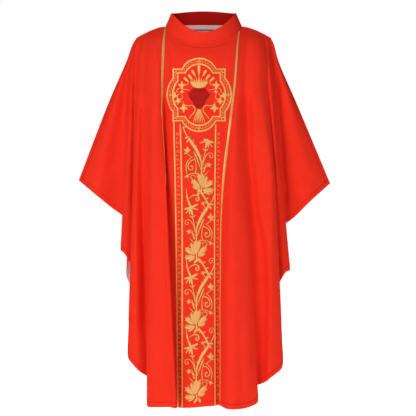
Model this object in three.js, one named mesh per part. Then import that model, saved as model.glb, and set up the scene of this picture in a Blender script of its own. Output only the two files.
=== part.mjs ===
// A chasuble: a wide sleeveless vestment with a standing collar, hanging from the shoulders.
// Millimetres, +Z up, -Y is the front. The origin is the middle of the neck opening, at the
// height where the shoulder seams meet the collar.
import * as THREE from 'three';

// ---- driving dimensions -----------------------------------------------------------------
const GARMENT_LENGTH = 1205;        // shoulder line to the lowest part of the hem
const HALF_SPAN = 406;              // centre to a hanging wing tip
const DRAPE_DEPTH = 230;            // how far the deepest front fold stands before the shoulders
const SHOULDER_HALF_WIDTH = 218;    // centre to the corner where the cloth drops off the shoulder
const SHOULDER_DROP = 37;           // how much lower that corner is than the neck point
const NECK_HALF_WIDTH = 124;
const NECK_FRONT_REACH = 105;       // neck opening, centre to front
const NECK_BACK_REACH = 68;
const NECK_FRONT_DROP = 73;         // the front of the neck line lies this far below the shoulders
const NECK_BACK_RISE = 7;
const COLLAR_SIDE_HEIGHT = 41;
const COLLAR_FRONT_HEIGHT = 37;
const COLLAR_BACK_HEIGHT = 49;
const COLLAR_LEAN = 18;             // the collar's top edge leans in by this much at the sides
const CLOTH = 1;                    // shell cloth thickness
const LINING = 0.6;
const INTERFACING = 0.8;
const STITCHED_GAP = 0.35;          // clearance between pieces that are sewn together
const LINING_EASE = 5;              // the lining hangs this far inside the shell
const BRAID_WIDTH = 9;
const BRAID_THICKNESS = 1.2;
const BORDER_CORD_WIDTH = 4.5;
const CORD_THICKNESS = 1;
const BORDER_BAND = 22;             // between an outer and an inner border cord
const MEDALLION_HALF_WIDTH = 103;
const MEDALLION_HALF_HEIGHT = 117;
const MEDALLION_DROP = 236;         // medallion centre below the shoulder line
const MEDALLION_BAND = 18;          // between the medallion's two cords
const VINE_REPEAT = 216;            // height of one repeat of the vine
const EMBROIDERY_THICKNESS = 0.8;
const SURFACE_LIFT = 0.96;          // sewn trim and stitches lie this far off the shell's facets
const TAPE = 0.5;                   // shoulder tape thickness
const TAPE_REACH = 0.06;            // how far down a guide the shoulder tape reaches
const TAPE_SHARES = [0.24, 0.36, 0.48, 0.6, 0.7, 0.78];
const BACKING = 0.5;                // embroidery backing thickness
const BACKING_ROWS = [0.25, 0.34, 0.43, 0.52, 0.6, 0.68, 0.75, 0.81, 0.87, 0.94, 0.985];
const COLLAR_FOOT = 0.02;            // the band starts this share of its height above the neck line
const COLLAR_NOD = 6;               // the top edge leans in by this much at the front and back
const BRAID_NARROWS_AT = 0.74;      // how far down a guide a braid narrows to a border cord
const CORD_TOP = { front: 0.595, back: 0.1 };  // how far down a guide the border cords begin
const LINING_TOP_GAP = 1.9;         // clear of the shell's facets where the lining is caught
const LINING_EASE_ROWS = 2;         // the ease is full from this row of the lining down
const LINING_SIDE_SHARE = 0.35;     // the lining stops this share of a guide inside the edge
const BACK_ORPHREY_WIDTH = 112;
const MEDALLION_CORNER = 83;        // medallion centre to its square corners, across and up
const LOBE_CHORD = { top: 54, side: 53 };
const HALF_LOBE_STEPS = 6;
const HEART_HALF_WIDTH = 29;
const CROWN_FOOT = 19;              // foot of the crown above the medallion's middle
const RAY_COUNT = 7;
const RAY_SPREAD = 17;              // degrees between neighbouring rays
const RAY_CLEARANCE = 34;           // ray tips' circle to the inner cord's height
const RAY_LENGTH = 24;
// Small leaves, as shares of the inner cord's half width and half height.
const MEDALLION_LEAVES = [[0.61, 0.3], [0.77, 0], [0.66, -0.23], [0.45, -0.42]];
const LEAFLET_SHARE = 0.13;
const VINE_LEAVES = 4;
const VINE_TOP = -508;              // the first leaf cluster's middle
const VINE_LEAF = 30;
const VINE_STEM = 6;
const VINE_SWAY = 12;
const HEM_MARGIN = 16;              // embroidery stops this far above the hem

// ---- the base size on which the drape was set, graded to the dimensions above -------------
const BASE = { length: 1205, halfSpan: 406, shoulder: 218, depth: 230 };
const gradeDepth = (depth) => depth * (DRAPE_DEPTH / BASE.depth);
const gradeHeight = (height) => height * (GARMENT_LENGTH / BASE.length);
const WING_GRADE = (HALF_SPAN - SHOULDER_HALF_WIDTH) / (BASE.halfSpan - BASE.shoulder);
// The body follows the shoulders, and what hangs outside them follows the span.
function gradeAcross(x) {
  const inside = Math.min(Math.abs(x), BASE.shoulder) * (SHOULDER_HALF_WIDTH / BASE.shoulder);
  const outside = Math.max(Math.abs(x) - BASE.shoulder, 0) * WING_GRADE;
  return Math.sign(x) * (inside + outside);
}
const CHEST_SHARE = 0.16;           // a guide's chest and middle points, as shares of its drop
const MIDDLE_SHARE = 0.45;
const BROW = { x: 0.4, y: 0.62, z: 0.28 };   // roundness of the cloth over the shoulder

const point = (x, y, z) => new THREE.Vector3(x, y, z);
const mix = THREE.MathUtils.lerp;
const degrees = THREE.MathUtils.degToRad;

// The seam line on top of the shoulder: share 0 at the neck, 1 at the corner.
function shoulderPoint(side, share) {
  const x = mix(NECK_HALF_WIDTH, SHOULDER_HALF_WIDTH, share);
  return point(side * x, 0, -SHOULDER_DROP * share ** 1.5);
}

// The neck line, by its angle: 0 at the left neck point, 90 at the front or back middle.
function neckPoint(angle, facing, reachOut = 0) {
  const turn = degrees(angle);
  const reach = facing < 0 ? NECK_FRONT_REACH : NECK_BACK_REACH;
  const height = facing < 0 ? -NECK_FRONT_DROP : NECK_BACK_RISE;
  return point(
    -(NECK_HALF_WIDTH + reachOut) * Math.cos(turn),
    facing * (reach + reachOut) * Math.sin(turn),
    height * Math.sin(turn) ** 1.4,
  );
}

const NECK_CLEARANCE = 2 * STITCHED_GAP;       // the shell starts outside the collar's foot
const onShoulder = (side, share) => ({ side, share });
const onNeck = (angle) => ({ angle });

// ---- fold guides ---------------------------------------------------------------------------
// Each fold line runs from the shoulder or the neck down to the hem. A guide gives where it
// starts, then its place across the body and its depth in front of the shoulders at the
// chest, at the middle and at the hem, where its height is given too.
// [name, start, [chest x, depth], [middle x, depth], [hem x, depth, height], lined]
const FRONT_GUIDES = [
  ['wing_seam', onShoulder(-1, 1), [-250, 0], [-308, 0], [-406, 0, -500], true],
  ['wing_belly', onShoulder(-1, 0.97), [-246, 12], [-289, 34], [-348, 42, -546], false],
  ['wing_valley', onShoulder(-1, 0.94), [-240, 14], [-263, 25], [-294, 25, -591], true],
  ['wing_turn', onShoulder(-1, 0.91), [-237, 24], [-249, 36], [-233, 45, -645], true],
  ['side_edge', onShoulder(-1, 0.88), [-233, 37], [-246, 62], [-264, 80, -716], false],
  ['side_ridge', onShoulder(-1, 0.85), [-229, 48], [-235, 82], [-245, 98, -741], false],
  ['side_turn', onShoulder(-1, 0.82), [-222, 50], [-215, 80], [-209, 78, -830], true],
  ['body_edge', onShoulder(-1, 0.79), [-220, 60], [-223, 105], [-239, 130, -1041], false],
  ['body_ridge', onShoulder(-1, 0.72), [-204, 78], [-214, 128], [-205, 160, -1092], false],
  ['body_valley', onShoulder(-1, 0.6), [-190, 88], [-195, 120], [-165, 140, -1128], true],
  ['front_outer_edge', onShoulder(-1, 0.5), [-178, 105], [-179, 145], [-175, 185, -1197], false],
  ['front_ridge', onShoulder(-1, 0.38), [-162, 118], [-155, 172], [-141, 215, -1199], false],
  ['front_crest', onShoulder(-1, 0.22), [-145, 126], [-126, 180], [-98, 228, -1199], false],
  ['front_edge', onShoulder(-1, 0.1), [-135, 122], [-115, 170], [-81, 215, -1202], false],
  ['seam_left', onNeck(8), [-130, 118], [-123, 155], [-95, 190, -1204], false],
  ['panel_turn', onNeck(15), [-121, 112], [-126, 134], [-98, 156, -1206], true],
  ['orphrey_left', onNeck(32), [-96, 129], [-87, 143], [-79, 155, -1210], true],
  ['border_left', onNeck(50), [-75, 134], [-67, 151], [-66, 168, -1209], true],
  ['quarter_left', onNeck(70), [-42, 137], [-38, 154], [-38, 171, -1208], false],
  ['centre', onNeck(90), [-10, 139], [-13, 155], [-13, 171, -1206], true],
  ['quarter_right', onNeck(109), [18, 138], [12, 153], [12, 169, -1204], false],
  ['border_right', onNeck(127), [43, 134], [35, 149], [36, 164, -1203], true],
  ['orphrey_valley', onNeck(142), [72, 129], [44, 143], [44, 154, -1202], true],
  ['seam_right', onNeck(157), [97, 122], [58, 148], [52, 168, -1202], false],
  ['front_edge_right', onNeck(167), [104, 119], [72, 160], [72, 214, -1204], false],
  ['front_crest_right', onNeck(175), [111, 117], [89, 172], [98, 222, -1204], false],
  ['front_ridge_right', onShoulder(1, 0.1), [119, 113], [114, 165], [132, 206, -1202], false],
  ['front_outer_right', onShoulder(1, 0.18), [126, 108], [138, 150], [169, 182, -1186], false],
  ['body_valley_right', onShoulder(1, 0.27), [133, 104], [160, 134], [164, 150, -1146], true],
  ['body_slope_right', onShoulder(1, 0.45), [156, 106], [186, 137], [187, 158, -1134], false],
  ['body_ridge_right', onShoulder(1, 0.62), [180, 96], [213, 134], [204, 166, -1120], false],
  ['body_edge_right', onShoulder(1, 0.79), [203, 62], [225, 105], [250, 130, -1074], false],
  ['side_turn_right', onShoulder(1, 0.82), [205, 52], [216, 80], [223, 78, -880], true],
  ['side_ridge_right', onShoulder(1, 0.85), [211, 48], [225, 84], [255, 98, -799], false],
  ['side_edge_right', onShoulder(1, 0.88), [219, 37], [239, 60], [275, 80, -779], false],
  ['wing_turn_right', onShoulder(1, 0.91), [226, 24], [239, 36], [240, 45, -665], true],
  ['wing_slope_right', onShoulder(1, 0.94), [232, 16], [256, 28], [289, 30, -622], true],
  ['wing_belly_right', onShoulder(1, 0.97), [240, 12], [284, 34], [345, 42, -566], false],
  ['wing_seam_right', onShoulder(1, 1), [243, 0], [302, 0], [411, 0, -510], true],
];

// The back hangs in the same way with fewer folds; one half is listed and the other mirrored.
const BACK_HALF_GUIDES = [
  ['wing_seam', onShoulder(-1, 1), [-250, 0], [-308, 0], [-406, 0, -500], true],
  ['wing_belly', onShoulder(-1, 0.96), [-244, 12], [-285, 32], [-345, 40, -542], false],
  ['wing_turn', onShoulder(-1, 0.92), [-236, 24], [-246, 36], [-236, 44, -660], true],
  ['side_edge', onShoulder(-1, 0.88), [-230, 36], [-243, 58], [-257, 75, -800], false],
  ['side_ridge', onShoulder(-1, 0.84), [-224, 46], [-231, 78], [-244, 94, -850], false],
  ['side_turn', onShoulder(-1, 0.8), [-215, 50], [-207, 74], [-200, 78, -930], true],
  ['body_edge', onShoulder(-1, 0.76), [-212, 60], [-221, 98], [-234, 118, -1060], false],
  ['body_ridge', onShoulder(-1, 0.64), [-190, 78], [-199, 120], [-205, 150, -1118], false],
  ['body_valley', onShoulder(-1, 0.46), [-158, 86], [-160, 102], [-160, 114, -1150], true],
  ['back_ridge', onShoulder(-1, 0.22), [-128, 92], [-120, 126], [-116, 164, -1190], true],
  ['seam', onNeck(14), [-98, 92], [-68, 112], [-64, 130, -1196], true],
  ['orphrey_edge', onNeck(38), [-58, 94], [-42, 110], [-40, 126, -1198], true],
  ['orphrey_quarter', onNeck(63), [-28, 97], [-20, 114], [-20, 131, -1199], false],
  ['centre', onNeck(90), [0, 98], [0, 116], [0, 134, -1200], true],
];

const mirrorStart = ({ side, share, angle }) => (
  angle === undefined ? { side: -side, share } : { angle: 180 - angle }
);
const mirrorGuide = ([name, start, chest, middle, hem, lined]) => [
  `${name}_right`, mirrorStart(start), [-chest[0], chest[1]], [-middle[0], middle[1]],
  [-hem[0], hem[1], hem[2]], lined,
];
// From +X to -X, so that the outside of the back faces +Y. The right wing seam is the front's.
const BACK_GUIDES = [
  FRONT_GUIDES.at(-1),
  ...BACK_HALF_GUIDES.slice(1, -1).map(mirrorGuide),
  ...BACK_HALF_GUIDES.slice().reverse(),
];

const SEAM_SPACE = CLOTH + STITCHED_GAP;       // the two shells stay this far off the seam plane

// A guide as a smooth line in space; facing is -1 for the front and +1 for the back.
function guideCurve([, start, chest, middle, hem], facing) {
  const top = start.angle === undefined
    ? shoulderPoint(start.side, start.share)
    : neckPoint(start.angle, facing, NECK_CLEARANCE);
  const seamSpace = facing * SEAM_SPACE;
  const bottom = gradeHeight(hem[2]);
  const place = ([x, depth], z) => point(
    gradeAcross(x),
    facing * gradeDepth(depth) + seamSpace,
    z,
  );
  if (start.angle === undefined) top.y += seamSpace;
  const chestPoint = place(chest, mix(top.z, bottom, CHEST_SHARE));
  const brow = point(
    mix(top.x, chestPoint.x, BROW.x),
    mix(top.y, chestPoint.y, BROW.y),
    mix(top.z, chestPoint.z, BROW.z),
  );
  const middlePoint = place(middle, mix(top.z, bottom, MIDDLE_SHARE));
  return new THREE.CatmullRomCurve3(
    [top, brow, chestPoint, middlePoint, place(hem, bottom)], false, 'centripetal');
}

// A draped sheet of cloth: u counts guides from one edge, v runs 0 to 1 from shoulder to hem.
class Sheet {
  constructor(guides, facing) {
    this.names = guides.map(([name]) => name);
    this.curves = guides.map((guide) => guideCurve(guide, facing));
    this.last = guides.length - 1;
    this.rowCache = new Map();
  }

  row(v) {
    if (!this.rowCache.has(v)) {
      const points = this.curves.map((curve) => curve.getPoint(v));
      this.rowCache.set(v, new THREE.CatmullRomCurve3(points, false, 'centripetal'));
    }
    return this.rowCache.get(v);
  }

  at(u, v) {
    return this.row(v).getPoint(u / this.last);
  }

  outward(u, v) {
    const du = 0.05;
    const dv = 0.004;
    const across = this.at(Math.min(u + du, this.last), v).sub(this.at(Math.max(u - du, 0), v));
    const down = this.at(u, Math.min(v + dv, 1)).sub(this.at(u, Math.max(v - dv, 0)));
    return down.cross(across).normalize();
  }

  index(name) {
    return this.names.indexOf(name);
  }

  // Points and outward directions on a grid of columns and rows.
  grid(columns, rows) {
    return rows.map((v) => columns.map((u) => ({
      place: this.at(u, v), out: this.outward(u, v),
    })));
  }
}

const ROWS = [0, 0.08, 0.16, 0.25, 0.34, 0.43, 0.52, 0.6, 0.68, 0.75, 0.81, 0.87, 0.94, 1];
const BRAID_ROWS = [0.02, ...ROWS.slice(1, -1), 0.995];
const COLUMNS_PER_GUIDE = 2;
const LINING_ROWS = [0.2, 0.3, 0.4, 0.5, 0.62, 0.75, 0.87, 0.975];
const columnsBetween = (first, last, perGuide) => Array.from(
  { length: (last - first) * perGuide + 1 },
  (_, i) => first + i / perGuide,
);

// ---- closed solids -------------------------------------------------------------------------
function solid(vertices, faces) {
  const geometry = new THREE.BufferGeometry();
  const flat = vertices.flatMap((vertex) => vertex.toArray());
  geometry.setAttribute('position', new THREE.Float32BufferAttribute(flat, 3));
  geometry.setIndex(faces.flat());
  geometry.computeVertexNormals();
  return geometry;
}

// A slab between two grids of points; wrapped, its columns close into a ring.
function slab(outer, inner, wrap = false) {
  const rows = outer.length;
  const columns = outer[0].length;
  const faces = [];
  const at = (layer, r, c) => (layer * rows + r) * columns + (c % columns);
  const quad = (a, b, c, d) => faces.push([a, b, c], [a, c, d]);
  const lastRow = rows - 1;
  const lastColumn = wrap ? columns : columns - 1;
  for (let c = 0; c < lastColumn; c += 1) {
    for (let r = 0; r < lastRow; r += 1) {
      quad(at(0, r, c), at(0, r + 1, c), at(0, r + 1, c + 1), at(0, r, c + 1));
      quad(at(1, r, c), at(1, r, c + 1), at(1, r + 1, c + 1), at(1, r + 1, c));
    }
    quad(at(0, 0, c), at(0, 0, c + 1), at(1, 0, c + 1), at(1, 0, c));
    quad(at(0, lastRow, c + 1), at(0, lastRow, c), at(1, lastRow, c), at(1, lastRow, c + 1));
  }
  if (!wrap) {
    for (let r = 0; r < lastRow; r += 1) {
      quad(at(0, r, 0), at(1, r, 0), at(1, r + 1, 0), at(0, r + 1, 0));
      quad(at(0, r, lastColumn), at(0, r + 1, lastColumn),
        at(1, r + 1, lastColumn), at(1, r, lastColumn));
    }
  }
  return solid([...outer.flat(), ...inner.flat()], faces);
}

// The layer of a grid that starts `from` off the sheet, outwards positive.
const layer = (grid, from) => grid.map((row) => row.map(
  ({ place, out }) => place.clone().addScaledVector(out, from)));

// The columns from first to last, with cut edges drawn in by half a stitched gap.
function cutPanel(grid, first, last, cutFirst, cutLast) {
  return grid.map((row) => {
    const cells = row.slice(first, last + 1).map(({ place, out }) => ({
      place: place.clone(), out,
    }));
    const drawIn = (edge, seam, sign) => {
      const across = row[seam + 1].place.clone().sub(row[seam - 1].place);
      edge.place.addScaledVector(across.normalize(), sign * STITCHED_GAP / 2);
    };
    if (cutFirst) drawIn(cells[0], first, 1);
    if (cutLast) drawIn(cells.at(-1), last, -1);
    return cells;
  });
}

const frontSheet = new Sheet(FRONT_GUIDES, -1);
const backSheet = new Sheet(BACK_GUIDES, 1);
const frontColumns = columnsBetween(0, frontSheet.last, COLUMNS_PER_GUIDE);
const backColumns = columnsBetween(0, backSheet.last, COLUMNS_PER_GUIDE);
const frontGrid = frontSheet.grid(frontColumns, ROWS);
const backGrid = backSheet.grid(backColumns, ROWS);

// ---- materials -----------------------------------------------------------------------------
const finish = (color, roughness, metalness = 0) => (
  new THREE.MeshStandardMaterial({ color, roughness, metalness })
);
const redTwill = finish('#e02a20', 0.6);
const paleLining = finish('#c9a6a2', 0.7);
const stiffInterfacing = finish('#e8e2d8', 0.9);
const goldBraid = finish('#dfb068', 0.45, 0.4);
const goldThread = finish('#e0bb6a', 0.4, 0.45);
const crimsonThread = finish('#8c1218', 0.5);

const group = new THREE.Group();
function addPiece(name, geometry, material) {
  const mesh = new THREE.Mesh(geometry, material);
  mesh.name = name;
  group.add(mesh);
}

// ---- shell panels and linings ---------------------------------------------------------------
function addPanels(grid, cuts, names) {
  names.forEach((name, i) => {
    const cells = cutPanel(grid, cuts[i], cuts[i + 1], i > 0, i < names.length - 1);
    addPiece(name, slab(layer(cells, 0), layer(cells, -CLOTH)), redTwill);
  });
}
const frontCuts = [0, frontSheet.index('seam_left'), frontSheet.index('seam_right'),
  frontSheet.last].map((guide) => guide * COLUMNS_PER_GUIDE);
const backCuts = [0, backSheet.index('seam_right'), backSheet.index('seam'),
  backSheet.last].map((guide) => guide * COLUMNS_PER_GUIDE);
addPanels(frontGrid, frontCuts,
  ['front_left_panel', 'front_centre_panel', 'front_right_panel']);
addPanels(backGrid, backCuts,
  ['back_right_panel', 'back_centre_panel', 'back_left_panel']);

// A lining hangs from fold bottom to fold bottom, inside every fold of the shell.
function addLining(name, guides, facing) {
  const lined = guides.filter((guide) => guide.at(-1));
  const sheet = new Sheet(lined, facing);
  const columns = columnsBetween(0, sheet.last, 1);
  columns[0] += LINING_SIDE_SHARE;
  columns[columns.length - 1] -= LINING_SIDE_SHARE;
  const grid = sheet.grid(columns, LINING_ROWS);
  grid.forEach((row, r) => {
    const ease = Math.min(r / LINING_EASE_ROWS, 1) * LINING_EASE;
    row.forEach(({ place, out }) => place.addScaledVector(out, -ease));
  });
  const top = -(CLOTH + LINING_TOP_GAP);
  addPiece(name, slab(layer(grid, top), layer(grid, top - LINING)), paleLining);
}
addLining('front_lining', FRONT_GUIDES, -1);
addLining('back_lining', BACK_GUIDES, 1);

// ---- pieces that follow the facets of the shell ----------------------------------------------
// A row of the grid at any height, straight between its two neighbouring rows.
function facetRow(grid, v) {
  const next = Math.max(ROWS.findIndex((row) => row >= v), 1);
  const share = (v - ROWS[next - 1]) / (ROWS[next] - ROWS[next - 1]);
  return grid[next].map(({ place, out }, c) => ({
    place: grid[next - 1][c].place.clone().lerp(place, share),
    out: grid[next - 1][c].out.clone().lerp(out, share).normalize(),
  }));
}

// The cell that lies `distance` along a row from one of its columns, measured on the cloth.
function alongRow(row, column, distance) {
  const step = Math.sign(distance) || 1;
  let left = Math.abs(distance);
  let c = column;
  for (;;) {
    const span = row[c].place.distanceTo(row[c + step].place);
    if (left <= span) {
      return {
        place: row[c].place.clone().lerp(row[c + step].place, left / span),
        out: row[c].out.clone().lerp(row[c + step].out, left / span).normalize(),
      };
    }
    left -= span;
    c += step;
  }
}

// A strip sewn on along one column of the shell: its offsets across the strip, per row.
function strip(grid, column, rows, widthAt, shift, thickness) {
  const cells = rows.map((v) => {
    const row = facetRow(grid, v);
    return [-0.5, 0, 0.5].map((share) => alongRow(row, column, shift + share * widthAt(v)));
  });
  return slab(layer(cells, SURFACE_LIFT + thickness), layer(cells, SURFACE_LIFT));
}
const columnOf = (sheet, name) => sheet.index(name) * COLUMNS_PER_GUIDE;

// Braids cover the four long seams. Below the waist a braid narrows to a border cord.
const braidWidthAt = (v) => (v < BRAID_NARROWS_AT ? BRAID_WIDTH : BORDER_CORD_WIDTH);
const addBraid = (name, grid, column) => addPiece(
  name,
  strip(grid, column, BRAID_ROWS, braidWidthAt, 0, BRAID_THICKNESS),
  goldBraid,
);
addBraid('braid_front_left', frontGrid, columnOf(frontSheet, 'seam_left'));
addBraid('braid_front_right', frontGrid, columnOf(frontSheet, 'seam_right'));
addBraid('braid_back_left', backGrid, columnOf(backSheet, 'seam'));
addBraid('braid_back_right', backGrid, columnOf(backSheet, 'seam_right'));

// Border cords run down both sides of an orphrey.
const addCord = (name, grid, column, shift, rows) => addPiece(
  name,
  strip(grid, column, rows, () => BORDER_CORD_WIDTH, shift, CORD_THICKNESS),
  goldThread,
);
const frontCordRows = ROWS.filter((v) => v > CORD_TOP.front);
frontCordRows.unshift(CORD_TOP.front);
addCord('border_cord_front_left_outer', frontGrid, columnOf(frontSheet, 'orphrey_left'), 0,
  frontCordRows);
addCord('border_cord_front_left_inner', frontGrid, columnOf(frontSheet, 'border_left'), 0,
  frontCordRows);
addCord('border_cord_front_right_inner', frontGrid, columnOf(frontSheet, 'border_right'), 0,
  frontCordRows);
const backCordRows = ROWS.filter((v) => v > CORD_TOP.back);
const backCentre = columnOf(backSheet, 'centre');
for (const [side, sign] of [['left', 1], ['right', -1]]) {
  addCord(`border_cord_back_${side}_outer`, backGrid, backCentre,
    sign * BACK_ORPHREY_WIDTH / 2, backCordRows);
  addCord(`border_cord_back_${side}_inner`, backGrid, backCentre,
    sign * (BACK_ORPHREY_WIDTH / 2 - BORDER_BAND), backCordRows);
}

// Behind each band of embroidery lies a woven backing, between the shell and the lining.
function addBacking(name, sheet, grid, firstGuide, lastGuide) {
  const first = columnOf(sheet, firstGuide);
  const last = columnOf(sheet, lastGuide);
  const cells = BACKING_ROWS.map((v) => facetRow(grid, v).slice(first, last + 1));
  const top = -(CLOTH + STITCHED_GAP);
  addPiece(name, slab(layer(cells, top), layer(cells, top - BACKING)), stiffInterfacing);
}
addBacking('front_orphrey_backing', frontSheet, frontGrid, 'orphrey_left', 'orphrey_valley');
addBacking('back_orphrey_backing', backSheet, backGrid, 'orphrey_edge_right', 'orphrey_edge');

// ---- collar ------------------------------------------------------------------------------------
const COLLAR_SIDES = 36;
// A point on the standing band: turn runs from the left side by the front; height 0 to 1.
function collarPoint(turn, height) {
  const across = Math.cos(turn);
  const away = Math.sin(turn);
  const isFront = away >= 0;
  const foot = isFront ? -NECK_FRONT_DROP : NECK_BACK_RISE;
  const reach = isFront ? NECK_FRONT_REACH : NECK_BACK_REACH;
  const rise = isFront ? COLLAR_FRONT_HEIGHT : COLLAR_BACK_HEIGHT;
  const spread = Math.abs(away);
  const bottom = foot * spread ** 1.4;
  const top = mix(COLLAR_SIDE_HEIGHT, foot + rise, spread ** 1.8);
  return point(
    -(NECK_HALF_WIDTH - height * COLLAR_LEAN) * across,
    -(reach - height * COLLAR_NOD) * away,
    mix(bottom, top, height),
  );
}

function collarBand(heights) {
  const turnStep = (2 * Math.PI) / COLLAR_SIDES;
  return heights.map((height) => Array.from({ length: COLLAR_SIDES }, (_, i) => {
    const turn = i * turnStep;
    const place = collarPoint(turn, height);
    const ahead = collarPoint(turn + 0.02, height).sub(collarPoint(turn - 0.02, height));
    const down = collarPoint(turn, height - 0.02).sub(collarPoint(turn, height + 0.02));
    return { place, out: down.cross(ahead).normalize() };
  }));
}

let collarDepth = 0;
function addCollarLayer(name, heights, thickness, material) {
  const cells = collarBand(heights);
  const outer = layer(cells, -collarDepth);
  collarDepth += thickness;
  addPiece(name, slab(outer, layer(cells, -collarDepth), true), material);
  collarDepth += STITCHED_GAP;
}
addCollarLayer('collar_outer', [1, 0.5, COLLAR_FOOT], CLOTH, redTwill);
addCollarLayer('collar_interfacing', [0.96, 0.5, 0.04], INTERFACING, stiffInterfacing);
addCollarLayer('collar_facing', [1, 0.5, COLLAR_FOOT], CLOTH, redTwill);
addCollarLayer('neck_tape', [0.12, -0.1], INTERFACING, redTwill);

// ---- shoulder tapes ------------------------------------------------------------------------------
// A tape inside each shoulder seam keeps it from stretching.
function guideAtShoulder(guides, side, share) {
  const starts = guides.map(([, start], i) => ({ ...start, i }))
    .filter((start) => start.side === side)
    .sort((a, b) => a.share - b.share);
  const next = starts.findIndex((start) => start.share >= share);
  const [low, high] = [starts[next - 1], starts[next]];
  return mix(low.i, high.i, (share - low.share) / (high.share - low.share));
}
function addShoulderTape(name, side) {
  const under = -(CLOTH + STITCHED_GAP);
  const shares = side < 0 ? [...TAPE_SHARES].reverse() : TAPE_SHARES;
  const line = (sheet, guides, v) => shares.map((share) => {
    const u = guideAtShoulder(guides, side, share);
    return { place: sheet.at(u, v), out: sheet.outward(u, v) };
  });
  const cells = [
    line(backSheet, BACK_GUIDES, TAPE_REACH), line(backSheet, BACK_GUIDES, 0),
    line(frontSheet, FRONT_GUIDES, 0), line(frontSheet, FRONT_GUIDES, TAPE_REACH),
  ];
  addPiece(name, slab(layer(cells, under), layer(cells, under - TAPE)), stiffInterfacing);
}
addShoulderTape('shoulder_tape_left', -1);
addShoulderTape('shoulder_tape_right', 1);

// ---- embroidery ------------------------------------------------------------------------------------
// The depth of the front's outer facets at a place seen from the front.
function frontDepthAt(x, z) {
  let depth = Infinity;
  const tryFace = (a, b, c) => {
    const area = (b.x - a.x) * (c.z - a.z) - (c.x - a.x) * (b.z - a.z);
    const towardB = ((x - a.x) * (c.z - a.z) - (c.x - a.x) * (z - a.z)) / area;
    const towardC = ((b.x - a.x) * (z - a.z) - (x - a.x) * (b.z - a.z)) / area;
    if (towardB < -1e-6 || towardC < -1e-6 || towardB + towardC > 1 + 1e-6) return;
    depth = Math.min(depth, a.y + towardB * (b.y - a.y) + towardC * (c.y - a.y));
  };
  for (let r = 0; r < frontGrid.length - 1; r += 1) {
    for (let c = frontCuts[1] - 1; c < frontCuts[2] + 1; c += 1) {
      const [a, b] = [frontGrid[r][c].place, frontGrid[r + 1][c].place];
      const [d, e] = [frontGrid[r + 1][c + 1].place, frontGrid[r][c + 1].place];
      tryFace(a, b, d);
      tryFace(a, d, e);
    }
  }
  return depth;
}
const onFront = ([x, z], lift) => point(x, frontDepthAt(x, z) - lift, z);

// A flat patch of stitches with the given outline, listed clockwise as seen from the front.
// With a hub, a point that sees every corner, the patch is a fan that bends over the hub.
function stitchedPatch(outline, hub) {
  const flat = outline.map(([x, z]) => new THREE.Vector2(x, z));
  if (!THREE.ShapeUtils.isClockWise(flat)) flat.reverse();
  const rim = flat.length;
  const triangles = hub
    ? flat.map((_, i) => [rim, i, (i + 1) % rim])
    : THREE.ShapeUtils.triangulateShape(flat, []);
  if (hub) flat.push(new THREE.Vector2(...hub));
  const count = flat.length;
  const corners = flat.map(({ x, y }) => [x, y]);
  const vertices = [
    ...corners.map((corner) => onFront(corner, SURFACE_LIFT + EMBROIDERY_THICKNESS)),
    ...corners.map((corner) => onFront(corner, SURFACE_LIFT)),
  ];
  const faces = [];
  for (const [a, b, c] of triangles) {
    const turn = (flat[b].x - flat[a].x) * (flat[c].y - flat[a].y)
      - (flat[c].x - flat[a].x) * (flat[b].y - flat[a].y);
    const [p, q] = turn > 0 ? [b, c] : [c, b];
    faces.push([a, p, q], [a + count, q + count, p + count]);
  }
  for (let i = 0; i < rim; i += 1) {
    const next = (i + 1) % rim;
    faces.push([i, next, next + count], [i, next + count, i + count]);
  }
  return solid(vertices, faces);
}

const ORPHREY_CENTRE = -14;         // the band hangs a little to one side
const medallionCentre = [ORPHREY_CENTRE, -MEDALLION_DROP];

// The barbed quatrefoil: four lobes with a square corner between each two.
function quatrefoil(halfWidth, halfHeight) {
  const scaleX = halfWidth / MEDALLION_HALF_WIDTH;
  const scaleZ = halfHeight / MEDALLION_HALF_HEIGHT;
  const arc = (apex, chord) => {
    const rise = apex - MEDALLION_CORNER;
    const radius = (chord ** 2 + rise ** 2) / (2 * rise);
    const half = Math.asin(chord / radius);
    const steps = 2 * HALF_LOBE_STEPS;
    return Array.from({ length: steps }, (_, i) => {
      const angle = mix(-half, half, (i + 0.5) / steps);
      return [radius * Math.sin(angle), apex - radius * (1 - Math.cos(angle))];
    });
  };
  const topLobe = arc(MEDALLION_HALF_HEIGHT, LOBE_CHORD.top);
  const sideLobe = arc(MEDALLION_HALF_WIDTH, LOBE_CHORD.side);
  const shares = [0, 1 / 4, 2 / 4, 3 / 4];
  const corner = [
    ...shares.map((share) => [
      mix(LOBE_CHORD.top, MEDALLION_CORNER, share), MEDALLION_CORNER]),
    [MEDALLION_CORNER, MEDALLION_CORNER],
    ...shares.map((share) => [
      MEDALLION_CORNER, mix(LOBE_CHORD.side, MEDALLION_CORNER, share)]).reverse(),
  ];
  const half = [
    ...topLobe.slice(HALF_LOBE_STEPS), ...corner,
    ...sideLobe.map(([along, out]) => [out, -along]),
    ...corner.map(([x, z]) => [x, -z]).reverse(),
    ...topLobe.slice(HALF_LOBE_STEPS).map(([x, z]) => [x, -z]).reverse(),
  ];
  const whole = [...half, ...half.map(([x, z]) => [-x, z]).reverse()];
  return whole.map(([x, z]) => [
    medallionCentre[0] + x * scaleX, medallionCentre[1] + z * scaleZ,
  ]);
}
function addMedallionCord(name, inset) {
  const edge = (extra) => quatrefoil(
    MEDALLION_HALF_WIDTH - inset - extra, MEDALLION_HALF_HEIGHT - inset - extra);
  const edges = [edge(0), edge(BORDER_CORD_WIDTH / 2), edge(BORDER_CORD_WIDTH)];
  const faceAt = (lift) => edges.map((line) => line.map((corner) => onFront(corner, lift)));
  addPiece(name, slab(faceAt(SURFACE_LIFT + CORD_THICKNESS), faceAt(SURFACE_LIFT), true),
    goldThread);
}
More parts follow.
